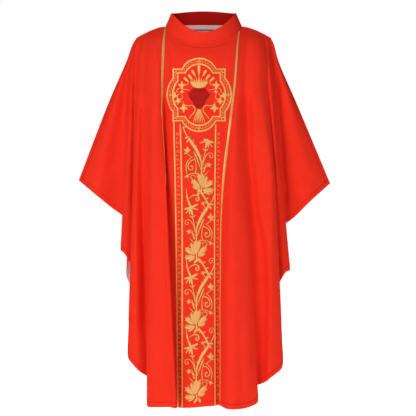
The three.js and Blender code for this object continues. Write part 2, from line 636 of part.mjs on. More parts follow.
addMedallionCord('medallion_outer_cord', 0);
addMedallionCord('medallion_inner_cord', MEDALLION_BAND);

// Outlines about their own middle, x across and z up.
const onMedallion = (x, z) => [medallionCentre[0] + x, medallionCentre[1] + z];
const fromCentre = ([cx, cz], outline, turn = 0, flip = 1) => outline.map(([x, z]) => [
  medallionCentre[0] + cx + flip * (x * Math.cos(turn) - z * Math.sin(turn)),
  medallionCentre[1] + cz + x * Math.sin(turn) + z * Math.cos(turn),
]);
const heart = Array.from({ length: 28 }, (_, i) => {
  const t = (i / 28) * 2 * Math.PI;
  return [
    HEART_HALF_WIDTH * Math.sin(t) ** 3,
    HEART_HALF_WIDTH * (0.81 * Math.cos(t) - 0.31 * Math.cos(2 * t) - 0.13 * Math.cos(3 * t)
      - 0.06 * Math.cos(4 * t)),
  ];
});
addPiece('heart', stitchedPatch(fromCentre([0, -12], heart), onMedallion(0, -12)), crimsonThread);

// A spray of pointed tongues that fans out from a narrow foot.
const spray = (height, tips, halfAngle) => {
  const outline = [[-height * 0.2, 0]];
  for (let i = 0; i <= 2 * (tips - 1); i += 1) {
    const angle = degrees(mix(-halfAngle, halfAngle, i / (2 * (tips - 1))));
    const radius = i % 2 === 0 ? height : height * 0.6;
    outline.push([radius * Math.sin(angle), radius * Math.cos(angle)]);
  }
  outline.push([height * 0.2, 0]);
  return outline;
};
addPiece('heart_crown', stitchedPatch(
  fromCentre([0, CROWN_FOOT], spray(34, 5, 50)), onMedallion(0, CROWN_FOOT + 6)), goldThread);
addPiece('heart_roots', stitchedPatch(
  fromCentre([0, -50], spray(32, 5, 42).map(([x, z]) => [x, -z])), onMedallion(0, -56)),
goldThread);

const drop = (length, halfWidth) => Array.from({ length: 12 }, (_, i) => {
  const t = (i / 12) * 2 * Math.PI;
  const along = (1 - Math.cos(t)) / 2;
  return [halfWidth * Math.sin(t) * along, length * along];
});
const innerHalfWidth = MEDALLION_HALF_WIDTH - MEDALLION_BAND;
const innerHalfHeight = MEDALLION_HALF_HEIGHT - MEDALLION_BAND;
const rayRing = innerHalfHeight - RAY_CLEARANCE - RAY_LENGTH;
for (let i = 0; i < RAY_COUNT; i += 1) {
  const turn = degrees((i - (RAY_COUNT - 1) / 2) * RAY_SPREAD);
  const foot = [-rayRing * Math.sin(turn), CROWN_FOOT + rayRing * Math.cos(turn)];
  addPiece(`ray_${i + 1}`, stitchedPatch(fromCentre(foot, drop(RAY_LENGTH, 5), turn)), goldThread);
}

// A lobed leaf: each lobe is a point between two notches.
function leaf(lobes, reach) {
  const outline = [];
  for (let i = 0; i < lobes; i += 1) {
    const tip = (i / lobes) * 2 * Math.PI;
    const notch = ((i + 0.5) / lobes) * 2 * Math.PI;
    for (const [angle, radius] of [
      [tip - 0.22, 0.78], [tip, 1], [tip + 0.22, 0.78], [notch, 0.42],
    ]) outline.push([reach * radius * Math.sin(angle), reach * radius * Math.cos(angle)]);
  }
  return outline;
}
MEDALLION_LEAVES.forEach(([x, z], i) => {
  for (const [side, sign] of [['left', -1], ['right', 1]]) {
    addPiece(`medallion_leaf_${side}_${i + 1}`,
      stitchedPatch(fromCentre([sign * x * innerHalfWidth, z * innerHalfHeight],
        leaf(3, LEAFLET_SHARE * innerHalfWidth), 0, sign)), goldThread);
  }
});

// The vine: a leaf cluster in every repeat, and a stem that winds from each to the next.
for (let i = 0; i < VINE_LEAVES; i += 1) {
  const z = VINE_TOP - i * VINE_REPEAT;
  const flip = i === 0 ? 1 : -1;
  const place = (outline, cz) => outline.map(([x, dz]) => [
    ORPHREY_CENTRE + flip * x, cz + dz]);
  addPiece(`vine_leaf_${i + 1}`, stitchedPatch(place(leaf(6, VINE_LEAF), z)), goldThread);
  const stemLength = Math.min(VINE_REPEAT - 2 * VINE_LEAF - 8,
    GARMENT_LENGTH + z - VINE_LEAF - HEM_MARGIN);
  if (stemLength > VINE_LEAF) {
    const side = (halfWidth) => Array.from({ length: 9 }, (_, k) => {
      const share = k / 8;
      return [
        VINE_SWAY * Math.sin(share * 2 * Math.PI) + halfWidth,
        -VINE_LEAF - 4 - share * stemLength,
      ];
    });
    const outline = [...side(VINE_STEM / 2), ...side(-VINE_STEM / 2).reverse()];
    addPiece(`vine_stem_${i + 1}`, stitchedPatch(place(outline, z)), goldThread);
  }
}

export default group;
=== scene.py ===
# %% [markdown]
# # A chasuble, dressed over its frame
# A chasuble is a wide sleeveless vestment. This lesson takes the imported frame, which already hangs
# in its folds, and makes it look like sewn cloth: twill panels, a standing collar, woven braids, and
# an embroidered band with a medallion. Everything is in metres, +Z is up and the wearer faces -Y.

# %% Load the frame
import math

import bpy
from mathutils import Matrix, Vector
from mathutils.bvhtree import BVHTree


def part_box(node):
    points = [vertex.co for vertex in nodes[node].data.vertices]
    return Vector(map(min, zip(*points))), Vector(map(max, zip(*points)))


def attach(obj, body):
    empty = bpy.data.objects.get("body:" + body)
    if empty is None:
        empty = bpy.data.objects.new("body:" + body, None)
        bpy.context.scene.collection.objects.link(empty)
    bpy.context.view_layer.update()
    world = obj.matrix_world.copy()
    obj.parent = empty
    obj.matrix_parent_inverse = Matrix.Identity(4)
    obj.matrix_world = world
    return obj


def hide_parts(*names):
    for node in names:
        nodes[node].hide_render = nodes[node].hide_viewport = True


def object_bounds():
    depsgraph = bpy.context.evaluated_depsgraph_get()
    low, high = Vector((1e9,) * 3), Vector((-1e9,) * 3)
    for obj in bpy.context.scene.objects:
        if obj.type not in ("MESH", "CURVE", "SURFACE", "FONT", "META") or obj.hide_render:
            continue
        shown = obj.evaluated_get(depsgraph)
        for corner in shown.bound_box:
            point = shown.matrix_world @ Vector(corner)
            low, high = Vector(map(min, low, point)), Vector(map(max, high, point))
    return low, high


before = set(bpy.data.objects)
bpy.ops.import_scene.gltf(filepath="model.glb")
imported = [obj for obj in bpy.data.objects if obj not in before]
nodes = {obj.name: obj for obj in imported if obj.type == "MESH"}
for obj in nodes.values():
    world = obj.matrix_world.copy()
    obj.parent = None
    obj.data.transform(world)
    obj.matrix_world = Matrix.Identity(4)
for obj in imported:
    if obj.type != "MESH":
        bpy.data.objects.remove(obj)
cad_low, cad_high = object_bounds()
print("CAD box", [round(x, 3) for x in (*cad_low, *cad_high)])

# %% [markdown]
# ## Small helpers
# An operator works on whatever is selected, so each step starts from a clean selection.
# Sizes of cloth and thread are easiest to read in millimetres, so `MM` turns them into metres.

# %% Selection and units
MM = 0.001


def select_only(*pieces):
    if bpy.context.object and bpy.context.object.mode != "OBJECT":
        bpy.ops.object.mode_set(mode="OBJECT")
    bpy.ops.object.select_all(action="DESELECT")
    for piece in pieces:
        piece.select_set(True)
    bpy.context.view_layer.objects.active = pieces[0]


def edit(piece, mode="FACE"):
    """Enter edit mode on one piece with what its mesh already has selected."""
    select_only(piece)
    bpy.context.tool_settings.mesh_select_mode = [mode == m for m in ("VERT", "EDGE", "FACE")]
    bpy.ops.object.mode_set(mode="EDIT")


def leave_edit():
    bpy.ops.object.mode_set(mode="OBJECT")


def select_parts(piece, kind, wanted):
    """Select the wanted vertices, edges or polygons of a mesh, and nothing else in it."""
    for group in ("vertices", "edges", "polygons"):
        for part in getattr(piece.data, group):
            part.select = group == kind and wanted(part)


def apply_modifier(piece, kind, **settings):
    select_only(piece)
    modifier = piece.modifiers.new(kind.title(), kind)
    for key, value in settings.items():
        setattr(modifier, key, value)
    bpy.ops.object.modifier_apply(modifier=modifier.name)


def shade_smooth(piece, degrees=180):
    select_only(piece)
    bpy.ops.object.shade_smooth_by_angle(angle=math.radians(degrees))


select_only(*nodes.values())
bpy.ops.object.select_all(action="DESELECT")
print(len(nodes), "CAD nodes loaded")

# %% [markdown]
# ## Camera
# The camera stands 3.6 m in front, at the height of the garment's middle, with a portrait lens.

# %% Camera
CAMERA_DISTANCE = 3.6
CAMERA_HEIGHT = -0.59
CAMERA_ASIDE = 0.014
CAMERA_LENS = 95.9
SENSOR_WIDTH = 36

bpy.ops.object.camera_add(
    location=(CAMERA_ASIDE, -CAMERA_DISTANCE, CAMERA_HEIGHT), rotation=(math.radians(90), 0, 0)
)
camera = bpy.context.object
camera.data.lens = CAMERA_LENS
camera.data.sensor_width = SENSOR_WIDTH
bpy.context.scene.camera = camera
print("camera", tuple(round(x, 3) for x in camera.location))

# %% [markdown]
# ## Materials
# Each finish starts from what the real one is. One function turns a hex colour to linear light, and
# one function adds a node with its settings and its links.

# %% Colour and nodes
def linear(hex_colour):
    def channel(text):
        c = int(text, 16) / 255
        return c / 12.92 if c <= 0.04045 else ((c + 0.055) / 1.055) ** 2.4

    return (*(channel(hex_colour[i : i + 2]) for i in (1, 3, 5)), 1.0)


def add_node(tree, kind, settings=None, **inputs):
    """A node of that kind; an input is a value, or another node's output socket."""
    node = tree.nodes.new(kind)
    for key, value in (settings or {}).items():
        setattr(node, key, value)
    for key, value in inputs.items():
        socket = node.inputs[int(key[1:]) if key[1:].isdigit() else key.replace("_", " ")]
        if isinstance(value, bpy.types.NodeSocket):
            tree.links.new(value, socket)
        else:
            socket.default_value = value
    return node


def new_material(name, **shader_values):
    material = bpy.data.materials.new(name)
    material.use_nodes = True
    tree = material.node_tree
    shader = tree.nodes["Principled BSDF"]
    for key, value in shader_values.items():
        shader.inputs[key.replace("_", " ")].default_value = value
    return material, tree, shader


# %% Cloth
# a Wave Texture of scale 1 has straight bands this far apart; its diagonal ones are 15 % wider
WAVE_LENGTH = 0.31416
# the ribs of real twill lie about 0.5 mm apart; they are drawn three times as coarse, to show
TWILL_PITCH = 1.6 * MM
MOTTLE = 60 * MM


def woven_cloth(name, base, shade, roughness, sheen, pitch, depth):
    """Cloth woven from dyed polyester yarn: diagonal ribs, and a slight cloudiness of the dye."""
    material, tree, shader = new_material(
        name, Roughness=roughness, Sheen_Weight=sheen, Sheen_Roughness=0.4, Specular_IOR_Level=0.05)
    place = add_node(tree, "ShaderNodeTexCoord").outputs["Object"]
    cloud = add_node(
        tree, "ShaderNodeTexNoise", Vector=place, Scale=1 / MOTTLE, Detail=3.0, Roughness=0.6
    ).outputs["Fac"]
    colour = add_node(
        tree, "ShaderNodeMix", {"data_type": "RGBA"}, i0=cloud, i6=linear(base), i7=linear(shade)
    ).outputs[2]
    tree.links.new(colour, shader.inputs["Base Color"])
    ribs = add_node(
        tree, "ShaderNodeTexWave", {"bands_direction": "DIAGONAL"},
        Vector=place, Scale=WAVE_LENGTH / pitch, Distortion=0.6, Detail=1.0,
    ).outputs["Fac"]
    slubs = add_node(
        tree, "ShaderNodeTexNoise", Vector=place, Scale=0.5 / pitch, Detail=2.0
    ).outputs["Fac"]
    weave = add_node(
        tree, "ShaderNodeMath", {"operation": "ADD"}, i0=ribs, i1=slubs
    ).outputs[0]
    bump = add_node(
        tree, "ShaderNodeBump", Strength=0.5, Distance=depth, Height=weave
    ).outputs["Normal"]
    tree.links.new(bump, shader.inputs["Normal"])
    return material


# dyed polyester twill is matt and strongly coloured, with no highlight at a glancing angle
red_twill = woven_cloth("polyester_twill_woven", "#f03320", "#e62c1a", 0.7, 0.0,
                        TWILL_PITCH, 0.25 * MM)
# the collar's facing is the same twill, drawn darker, because little light comes inside a collar
shaded_twill = woven_cloth("polyester_twill_facing_woven", "#b8140a", "#a81008", 0.7, 0.0,
                           TWILL_PITCH, 0.25 * MM)
# lining taffeta is thin, smooth and pale, with a slight sheen
pale_lining = woven_cloth("lining_taffeta_woven", "#e8c8c4", "#dcbab6", 0.6, 0.2,
                          TWILL_PITCH / 2, 0.1 * MM)
# plain woven interfacing is chalky and dull
interfacing = woven_cloth("interfacing_plain_woven", "#e8e2d8", "#dcd5c8", 0.9, 0.0,
                          TWILL_PITCH, 0.3 * MM)
print("cloth materials made")

# %% [markdown]
# ## Metallic braid and thread
# Gold braid is woven from flat metallised film wound round a core, so it glints in short stitches
# that all lie one way. Rayon and film threads in satin stitch do the same at a finer scale.

# %% Braid and thread
# braid has ribs about 1 mm apart and satin stitch about 0.4 mm; both are drawn coarser, to show
BRAID_RIB = 2.6 * MM
BRAID_RIB_DEPTH = 0.3 * MM
STITCH_PITCH = 1.3 * MM
STITCH_DEPTH = 0.25 * MM


def laid_thread(name, base, shade, metallic, roughness, pitch=STITCH_PITCH, depth=STITCH_DEPTH):
    """Thread laid in parallel stitches, with painted shade between them; film thread is partly
    metallic, rayon isn't.
    """
    material, tree, shader = new_material(
        name, Metallic=metallic, Roughness=roughness, Specular_IOR_Level=0.5 if metallic else 0.1)
    place = add_node(tree, "ShaderNodeTexCoord").outputs["Object"]
    stitches = add_node(
        tree, "ShaderNodeTexWave", {"bands_direction": "DIAGONAL"},
        Vector=place, Scale=WAVE_LENGTH / pitch, Distortion=1.5, Detail=2.0, Detail_Scale=2.0,
    ).outputs["Fac"]
    patches = add_node(
        tree, "ShaderNodeTexNoise", Vector=place, Scale=0.2 / pitch, Detail=2.0
    ).outputs["Fac"]
    stitch_shade_and_patches = add_node(
        tree, "ShaderNodeMath", {"operation": "MULTIPLY"}, i0=stitches, i1=patches
    ).outputs[0]
    # the shade colour is painted shade in the hollows between stitches, and also random darker patches
    # of tone; the base colour is the lit crowns
    colour = add_node(
        tree, "ShaderNodeMix", {"data_type": "RGBA"}, i0=stitch_shade_and_patches, i6=linear(shade), i7=linear(base)
    ).outputs[2]
    tree.links.new(colour, shader.inputs["Base Color"])
    bump = add_node(
        tree, "ShaderNodeBump", Strength=0.6, Distance=depth, Height=stitches
    ).outputs["Normal"]
    tree.links.new(bump, shader.inputs["Normal"])
    return material


# metallised film round a core: a soft glint, broken by the ribs
gold_braid = laid_thread("metallised_braid_woven", "#fad088", "#c89044", 0.2, 0.42,
                         BRAID_RIB, BRAID_RIB_DEPTH)
gold_thread = laid_thread("metallised_thread_stitched", "#fcd680", "#d8a44c", 0.12, 0.42)
# rayon: a silky colour with little highlight
apricot_thread = laid_thread("apricot_rayon_thread_stitched", "#f8b474", "#dc8c4c", 0.05, 0.45)
crimson_thread = laid_thread("crimson_rayon_thread_stitched", "#d4201a", "#a41410", 0.0, 0.45)
# a dark thread laid under each stroke: partly a real outline, partly painted shadow where the plump
# stitches meet the cloth
outline_and_shadow_thread = laid_thread("bronze_rayon_thread_stitched", "#9c5a20", "#6c3c14", 0.0, 0.5)
dark_thread = laid_thread("maroon_rayon_thread_stitched", "#5c0808", "#3c0606", 0.0, 0.5)
print("thread materials made")

# %% [markdown]
# ## The draped shell
# The six panels hang as the frame says. A copy of each panel loses its inner face and its rim, the
# three panels of a side are welded at their seams, and a subdivision surface turns the coarse drape
# into soft cloth that runs on across every seam. Only then is it cut into panels again.

# %% A panel's outer sheet
CLOTH = 1.0 * MM
SAME_PLACE = 0.01 * MM
FRONT_PANELS = ["front_left_panel", "front_centre_panel", "front_right_panel"]
BACK_PANELS = ["back_right_panel", "back_centre_panel", "back_left_panel"]


def cad_copy(node, name):
    piece = nodes[node].copy()
    piece.data = nodes[node].data.copy()
    piece.name = name
    piece.parent = None
    for key in list(piece.keys()):
        del piece[key]
    piece.data.materials.clear()
    bpy.context.scene.collection.objects.link(piece)
    edit(piece)
    bpy.ops.mesh.select_all(action="SELECT")
    bpy.ops.mesh.remove_doubles(threshold=SAME_PLACE)
    bpy.ops.mesh.customdata_custom_splitnormals_clear()
    leave_edit()
    return piece


def dissolve_diagonals(sheet):
    """Turns a regular grid of triangle pairs into quads. The search starts at a corner triangle,
    whose one inner edge is a diagonal, and spreads from each triangle to its neighbours."""
    mesh = sheet.data
    faces_of = {}
    for face in mesh.polygons:
        for key in face.edge_keys:
            faces_of.setdefault(key, []).append(face)
    for face in mesh.polygons:
        inner = [key for key in face.edge_keys if len(faces_of[key]) == 2]
        if len(inner) == 1:
            break
    diagonal_of = {face.index: inner[0]}
    waiting = [face]
    while waiting:
        face = waiting.pop()
        diagonal = diagonal_of[face.index]
        for key in face.edge_keys:
            for other in faces_of[key]:
                if other.index in diagonal_of:
                    continue
                if key == diagonal:
                    found = key
                else:
                    start = (set(key) - set(diagonal)).pop()
                    found = next(k for k in other.edge_keys if k != key and start in k)
                diagonal_of[other.index] = found
                waiting.append(other)
    diagonals = set(diagonal_of.values())
    select_parts(sheet, "edges", lambda edge: tuple(sorted(edge.vertices)) in diagonals)
    edit(sheet, "EDGE")
    bpy.ops.mesh.dissolve_edges(use_verts=False)
    leave_edit()


def outer_sheet(node, name, thickness, towards):
    """The face of a thin slab that looks `towards`, without its rim and its other face."""
    piece = cad_copy(node, name)
    mesh = piece.data
    places = [vertex.co for vertex in mesh.vertices]
    through = set()
    for edge in mesh.edges:
        a, b = edge.vertices
        if abs((places[a] - places[b]).length - thickness) < SAME_PLACE:
            through.add(tuple(sorted((a, b))))
    select_parts(piece, "polygons", lambda face: any(key in through for key in face.edge_keys))
    edit(piece)
    bpy.ops.mesh.delete(type="FACE")
    bpy.ops.mesh.separate(type="LOOSE")
    leave_edit()
    sides = list(bpy.context.selected_objects)

    def looks(side):
        total = Vector()
        for face in side.data.polygons:
            total += face.normal * face.area
        return total.dot(towards)

    sides.sort(key=looks)
    for side in sides[:-1]:
        bpy.data.objects.remove(side)
    sheet = sides[-1]
    sheet.name = name
    dissolve_diagonals(sheet)
    return sheet


FRONT, BACK = Vector((0, -1, 0)), Vector((0, 1, 0))
panels = {}
for names, towards in ((FRONT_PANELS, FRONT), (BACK_PANELS, BACK)):
    for name in names:
        panels[name] = outer_sheet(name, name + "_sheet", CLOTH, towards)
        kinds = [len(f.vertices) for f in panels[name].data.polygons]
        print(name, len(kinds), "faces,", kinds.count(3), "triangles")

# %% [markdown]
# ## Weld, hold and subdivide
# Subdivision rounds a cage inwards, so folds would shrink. Each cage point is therefore pushed out by
# most of what it would lose, and the soft surface then passes close to the frame's own folds.

# %% One soft shell for each side
SEAM_WELD = 0.5 * MM
SEAM_PLANE = 1.45 * MM
SEAM_KEEPS = 0.06
HOLD_ROUNDS = 3
HOLD_SHARE = 0.75


def welded(names, name):
    """The panels of one side as one sheet; each face keeps its panel as a material slot."""
    for panel_name in names:
        marker = bpy.data.materials.new(panel_name)
        panels[panel_name].data.materials.append(marker)
    select_only(*[panels[n] for n in names])
    bpy.ops.object.join()
    shell = bpy.context.object
    shell.name = name
    edit(shell)
    bpy.ops.mesh.select_all(action="SELECT")
    bpy.ops.mesh.remove_doubles(threshold=SEAM_WELD)
    leave_edit()
    select_parts(shell, "vertices", lambda vertex: abs(vertex.co.y) < SEAM_PLANE)
    edit(shell, "VERT")
    bpy.ops.transform.resize(value=(1, SEAM_KEEPS, 1), center_override=(0, 0, 0))
    leave_edit()
    return shell


def hold_shape(cage, levels):
    """Moves the cage's points so that its subdivision passes near where they are now."""
    wanted = [vertex.co.copy() for vertex in cage.data.vertices]
    modifier = cage.modifiers.new("Subdivision", "SUBSURF")
    modifier.levels = modifier.render_levels = levels
    modifier.boundary_smooth = "PRESERVE_CORNERS"
    for _ in range(HOLD_ROUNDS):
        shown = cage.evaluated_get(bpy.context.evaluated_depsgraph_get()).to_mesh()
        reached = [shown.vertices[i].co.copy() for i in range(len(wanted))]
        for vertex, goal, now in zip(cage.data.vertices, wanted, reached):
            vertex.co += (goal - now) * HOLD_SHARE
        cage.data.update()
    select_only(cage)
    bpy.ops.object.modifier_apply(modifier=modifier.name)


SHELL_LEVELS = 3
front_shell = welded(FRONT_PANELS, "front_shell")
back_shell = welded(BACK_PANELS, "back_shell")
for shell in (front_shell, back_shell):
    hold_shape(shell, SHELL_LEVELS)
    print(shell.name, len(shell.data.polygons), "faces")

# %% [markdown]
# ## Folds
# The cloth hangs from the shoulders in long folds, with a few sharp creases between them. The shells
# have the big waves already; each crease is a groove that follows a line down the cloth and fades
# out at its two ends. The lining and the backing get the same grooves, so no layer cuts another.

# %% Creases
# (x, z) points down each crease in mm, then its depth, and its widths to the left and the right;
# a negative depth is a ridge
FRONT_CREASES = [
    ([(-122, -230), (-126, -565), (-125, -728), (-119, -890), (-110, -1053), (-104, -1200),
      (-102, -1320)], 16, 27, 11),
    ([(-178, -220), (-178, -660), (-184, -1020)], 15, 20, 12),
    ([(-214, -60), (-218, -340), (-222, -640)], 7, 12, 9),
    ([(208, -60), (224, -240), (234, -403), (246, -565)], -14, 30, 10),
    ([(216, -40), (222, -110), (240, -240), (250, -403), (262, -565), (270, -640)], 10, 12, 10),
    ([(140, -200), (140, -403), (156, -565), (184, -728), (190, -890), (186, -1053), (184, -1170)],
     19, 27, 12),
    ([(146, -480), (154, -890), (156, -1160)], 5, 10, 10),
    ([(70, -300), (64, -560), (52, -900)], 3, 9, 9),
    ([(-150, -420), (-146, -800), (-140, -1180)], 3, 10, 10),
    ([(-140, -50), (-152, -135)], 5, 6, 5),
    ([(-276, -250), (-298, -420), (-334, -560)], 6, 30, 22),
    ([(292, -240), (315, -420), (342, -560)], 5, 26, 22),
    ([(112, -900), (118, -1240)], 6, 26, 10),
]
BACK_CREASES = [
    ([(-120, -160), (-114, -620), (-98, -1210)], 12, 8, 22),
    ([(120, -160), (114, -620), (98, -1210)], 12, 22, 8),
    ([(-200, -120), (-212, -620), (-206, -1000)], 12, 12, 22),
    ([(200, -120), (212, -620), (206, -1000)], 12, 22, 12),
    ([(-160, -400), (-158, -1150)], 4, 11, 11),
    ([(160, -400), (158, -1150)], 4, 11, 11),
]
CREASE_FADE = 80
FRONT_SIDE, BACK_SIDE = -1, 1


def smooth_step(share):
    share = min(max(share, 0.0), 1.0)
    return share * share * (3 - 2 * share)


def crease_depth(creases, x, z):
    """How far back the cloth goes at x and z, all in mm."""
    total = 0.0
    for line, depth, left_width, right_width in creases:
        top, bottom = line[0][1], line[-1][1]
        if not bottom < z < top:
            continue
        for (ax, az), (bx, bz) in zip(line, line[1:]):
            if bz <= z <= az:
                middle = ax + (bx - ax) * smooth_step((az - z) / (az - bz))
                reach = min(CREASE_FADE, (top - bottom) / 3)
                fade = smooth_step((top - z) / reach) * smooth_step((z - bottom) / reach)
                width = left_width if x < middle else right_width
                total += depth * fade * math.exp(-((x - middle) / width) ** 2)
                break
    return total


def edge_uses(mesh):
    """How many faces share each edge; a free edge has one."""
    uses = {}
    for face in mesh.polygons:
        for key in face.edge_keys:
            uses[key] = uses.get(key, 0) + 1
    return uses


def press_creases(piece, creases, side):
    """Moves the cloth into its creases, and smooths it everywhere but along its free edge."""
    for vertex in piece.data.vertices:
        x, y, z = vertex.co
        vertex.co.y = y - side * MM * crease_depth(creases, x / MM, z / MM)
    piece.data.update()
    rim = {i for key, count in edge_uses(piece.data).items() if count == 1 for i in key}
    select_parts(piece, "vertices", lambda vertex: vertex.index not in rim)
    edit(piece, "VERT")
    bpy.ops.mesh.vertices_smooth(factor=0.5, repeat=2)
    leave_edit()


press_creases(front_shell, FRONT_CREASES, FRONT_SIDE)
press_creases(back_shell, BACK_CREASES, BACK_SIDE)
print("creases pressed")

# %% [markdown]
# ## The surfaces to sew on
# Trim and embroidery are laid on the soft shell. A search tree of each side answers two questions:
# where a thread stitched from the front meets the cloth, and how far a point is from the cloth.

# %% Search trees
def surface_of(piece):
    mesh = piece.data
    return BVHTree.FromPolygons(
        [vertex.co for vertex in mesh.vertices], [tuple(face.vertices) for face in mesh.polygons]
    )


front_surface = surface_of(front_shell)
back_surface = surface_of(back_shell)
print("search trees made")

# %% [markdown]
# ## Strips that lie on the cloth
# A braid or a border cord is a narrow woven strip. Each one starts as the upper face of its CAD strip,
# is subdivided, drawn onto the soft shell with Shrinkwrap, and given its thickness with Solidify.
# The front braid at the viewer's left runs into a deep fold that laps over it. This cloth is a single
# sheet that can't lap, so from there down the strip is sunk behind the cloth's face instead.

# %% Sewn strips
BRAID = 1.2 * MM
CORD = 1.0 * MM
SEWN_LIFT = 0.2 * MM
END_BAND = 2 * MM
TUCK_DEPTH, TUCK_RUN = 2.4 * MM, 30 * MM
STRIP_ANGLE, LAYER_ANGLE, THREAD_ANGLE = 50, 60, 80


def finish_piece(piece, name, slot, material, *replaced):
    piece.name = name
    piece.data.name = name
    if material is not None:
        piece.data.materials.clear()
        piece.data.materials.append(material)
    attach(piece, "root")
    if replaced:
        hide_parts(*replaced)
    return piece


def sewn_strip(node, thickness, shell, towards, material, slot, draw_up=0.0, tuck_below=None):
    """draw_up lengthens the strip at its top; below the height tuck_below it is sunk."""
    piece = outer_sheet(node, node + "_strip", thickness, towards)
    if draw_up:
        top = max(vertex.co.z for vertex in piece.data.vertices)
        select_parts(piece, "vertices", lambda vertex: vertex.co.z > top - END_BAND)
        edit(piece, "VERT")
        bpy.ops.transform.translate(value=(0, 0, draw_up))
        leave_edit()
    hold_shape(piece, SHELL_LEVELS)
    apply_modifier(piece, "SHRINKWRAP", target=shell, wrap_method="NEAREST_SURFACEPOINT",
                   wrap_mode="ABOVE_SURFACE", offset=SEWN_LIFT)
    apply_modifier(piece, "SOLIDIFY", thickness=thickness, offset=1.0)
    if tuck_below is not None:
        for vertex in piece.data.vertices:
            under = smooth_step((tuck_below - vertex.co.z) / TUCK_RUN)
            vertex.co.y -= towards.y * TUCK_DEPTH * under
        piece.data.update()
    shade_smooth(piece, STRIP_ANGLE)
    return finish_piece(piece, node.replace("braid_", "woven_braid_"), slot, material, node)


BORDER_DRAW_UP = 18 * MM
FOLD_START = -275 * MM
for side in ("left", "right"):
    sewn_strip(f"braid_front_{side}", BRAID, front_shell, FRONT, gold_braid, "gold_braid",
               tuck_below=FOLD_START if side == "left" else None)
    sewn_strip(f"braid_back_{side}", BRAID, back_shell, BACK, gold_braid, "gold_braid")
    for edge_name in ("outer", "inner"):
        sewn_strip(f"border_cord_back_{side}_{edge_name}", CORD, back_shell, BACK,
                   gold_thread, "gold_thread")
for node in ("border_cord_front_left_outer", "border_cord_front_left_inner",
             "border_cord_front_right_inner"):
    sewn_strip(node, CORD, front_shell, FRONT, gold_thread, "gold_thread", BORDER_DRAW_UP)
for node in ("medallion_outer_cord", "medallion_inner_cord"):
    sewn_strip(node, CORD, front_shell, FRONT, gold_thread, "gold_thread")
print("strips sewn on")

# %% [markdown]
# ## Collar, linings and what lies between the layers
# The collar and the tapes are closed slabs of cloth. A merged copy with a subdivision surface gets
# the soft rolled edges that folded cloth has. Linings and backings are open sheets, as the shell is,
# and get the shell's creases. A backing ends a little above the lining's hem, which hides it.

# %% Soft copies of closed slabs
def soft_slab(node, name, material, slot, levels=SHELL_LEVELS):
    piece = cad_copy(node, name)
    edit(piece)
    bpy.ops.mesh.select_all(action="SELECT")
    bpy.ops.mesh.tris_convert_to_quads(
        face_threshold=math.pi, shape_threshold=math.pi, topology_influence=2.0)
    leave_edit()
    hold_shape(piece, levels)
    shade_smooth(piece)
    return finish_piece(piece, name, slot, material, node)


soft_slab("collar_outer", "collar_band", red_twill, "red_twill")
soft_slab("collar_facing", "collar_lining_band", shaded_twill, "red_twill")
soft_slab("collar_interfacing", "collar_stiffener", interfacing, "woven_interfacing")
soft_slab("neck_tape", "neck_seam_tape", pale_lining, "pale_lining")
for side in ("left", "right"):
    soft_slab(f"shoulder_tape_{side}", f"shoulder_seam_tape_{side}", interfacing,
              "woven_interfacing", 2)


def hung_layer(node, name, thickness, towards, material, slot, hem=None):
    """A layer inside the shell; hem is the height below which its cloth is cut away."""
    piece = outer_sheet(node, name, thickness, towards)
    if hem is not None:
        edit(piece)
        bpy.ops.mesh.select_all(action="SELECT")
        bpy.ops.mesh.bisect(plane_co=(0, 0, hem), plane_no=(0, 0, 1), clear_inner=True)
        leave_edit()
    hold_shape(piece, SHELL_LEVELS)
    if towards == FRONT:
        press_creases(piece, FRONT_CREASES, FRONT_SIDE)
    else:
        press_creases(piece, BACK_CREASES, BACK_SIDE)
    apply_modifier(piece, "SOLIDIFY", thickness=thickness, offset=-1.0)
    shade_smooth(piece, LAYER_ANGLE)
    return finish_piece(piece, name, slot, material, node)


def hem_height(piece):
    return min(vertex.co.z for vertex in piece.data.vertices)


LINING, BACKING = 0.6 * MM, 0.5 * MM
front_lining = hung_layer("front_lining", "lining_front", LINING, FRONT, pale_lining, "pale_lining")
back_lining = hung_layer("back_lining", "lining_back", LINING, BACK, pale_lining, "pale_lining")
BACKING_SHORTER = 12 * MM
for node, name, towards, lining in (
    ("front_orphrey_backing", "embroidery_backing_front", FRONT, front_lining),
    ("back_orphrey_backing", "embroidery_backing_back", BACK, back_lining),
):
    hung_layer(node, name, BACKING, towards, interfacing, "woven_interfacing",
               hem_height(lining) + BACKING_SHORTER)
print("collar and inner layers made")

# %% [markdown]
# ## Drawing with thread
# Embroidery is drawn flat, as seen from the front, in millimetres about the middle of its motif. A
# stroke is a smooth curve with a half width at each point; a curve object with a round bevel makes
# it a plump satin stitch. The finished drawing is then laid on the cloth: every point keeps its own
# small relief and moves straight back until it meets the surface.

# %% Strokes and laying
STITCH_RELIEF = 0.9 * MM
STITCH_SINK = 0.15 * MM
STITCH_FINISHES = [gold_thread, apricot_thread, outline_and_shadow_thread, crimson_thread, dark_thread]
GOLD, APRICOT, OUTLINE_AND_SHADOW, CRIMSON, MAROON = range(5)
# the outline, partly a real dark outline and partly painted shadow at the stitches' edge, shows 0.6 mm
# beside a stroke, and lies deeper by half its own width
EDGE, OUTLINE_SINK = 0.6, 0.5
# how far out the search for the cloth starts, and about where the cloth hangs, in metres from y = 0
RAY_START, NEAR_CLOTH = 1.0, 0.17


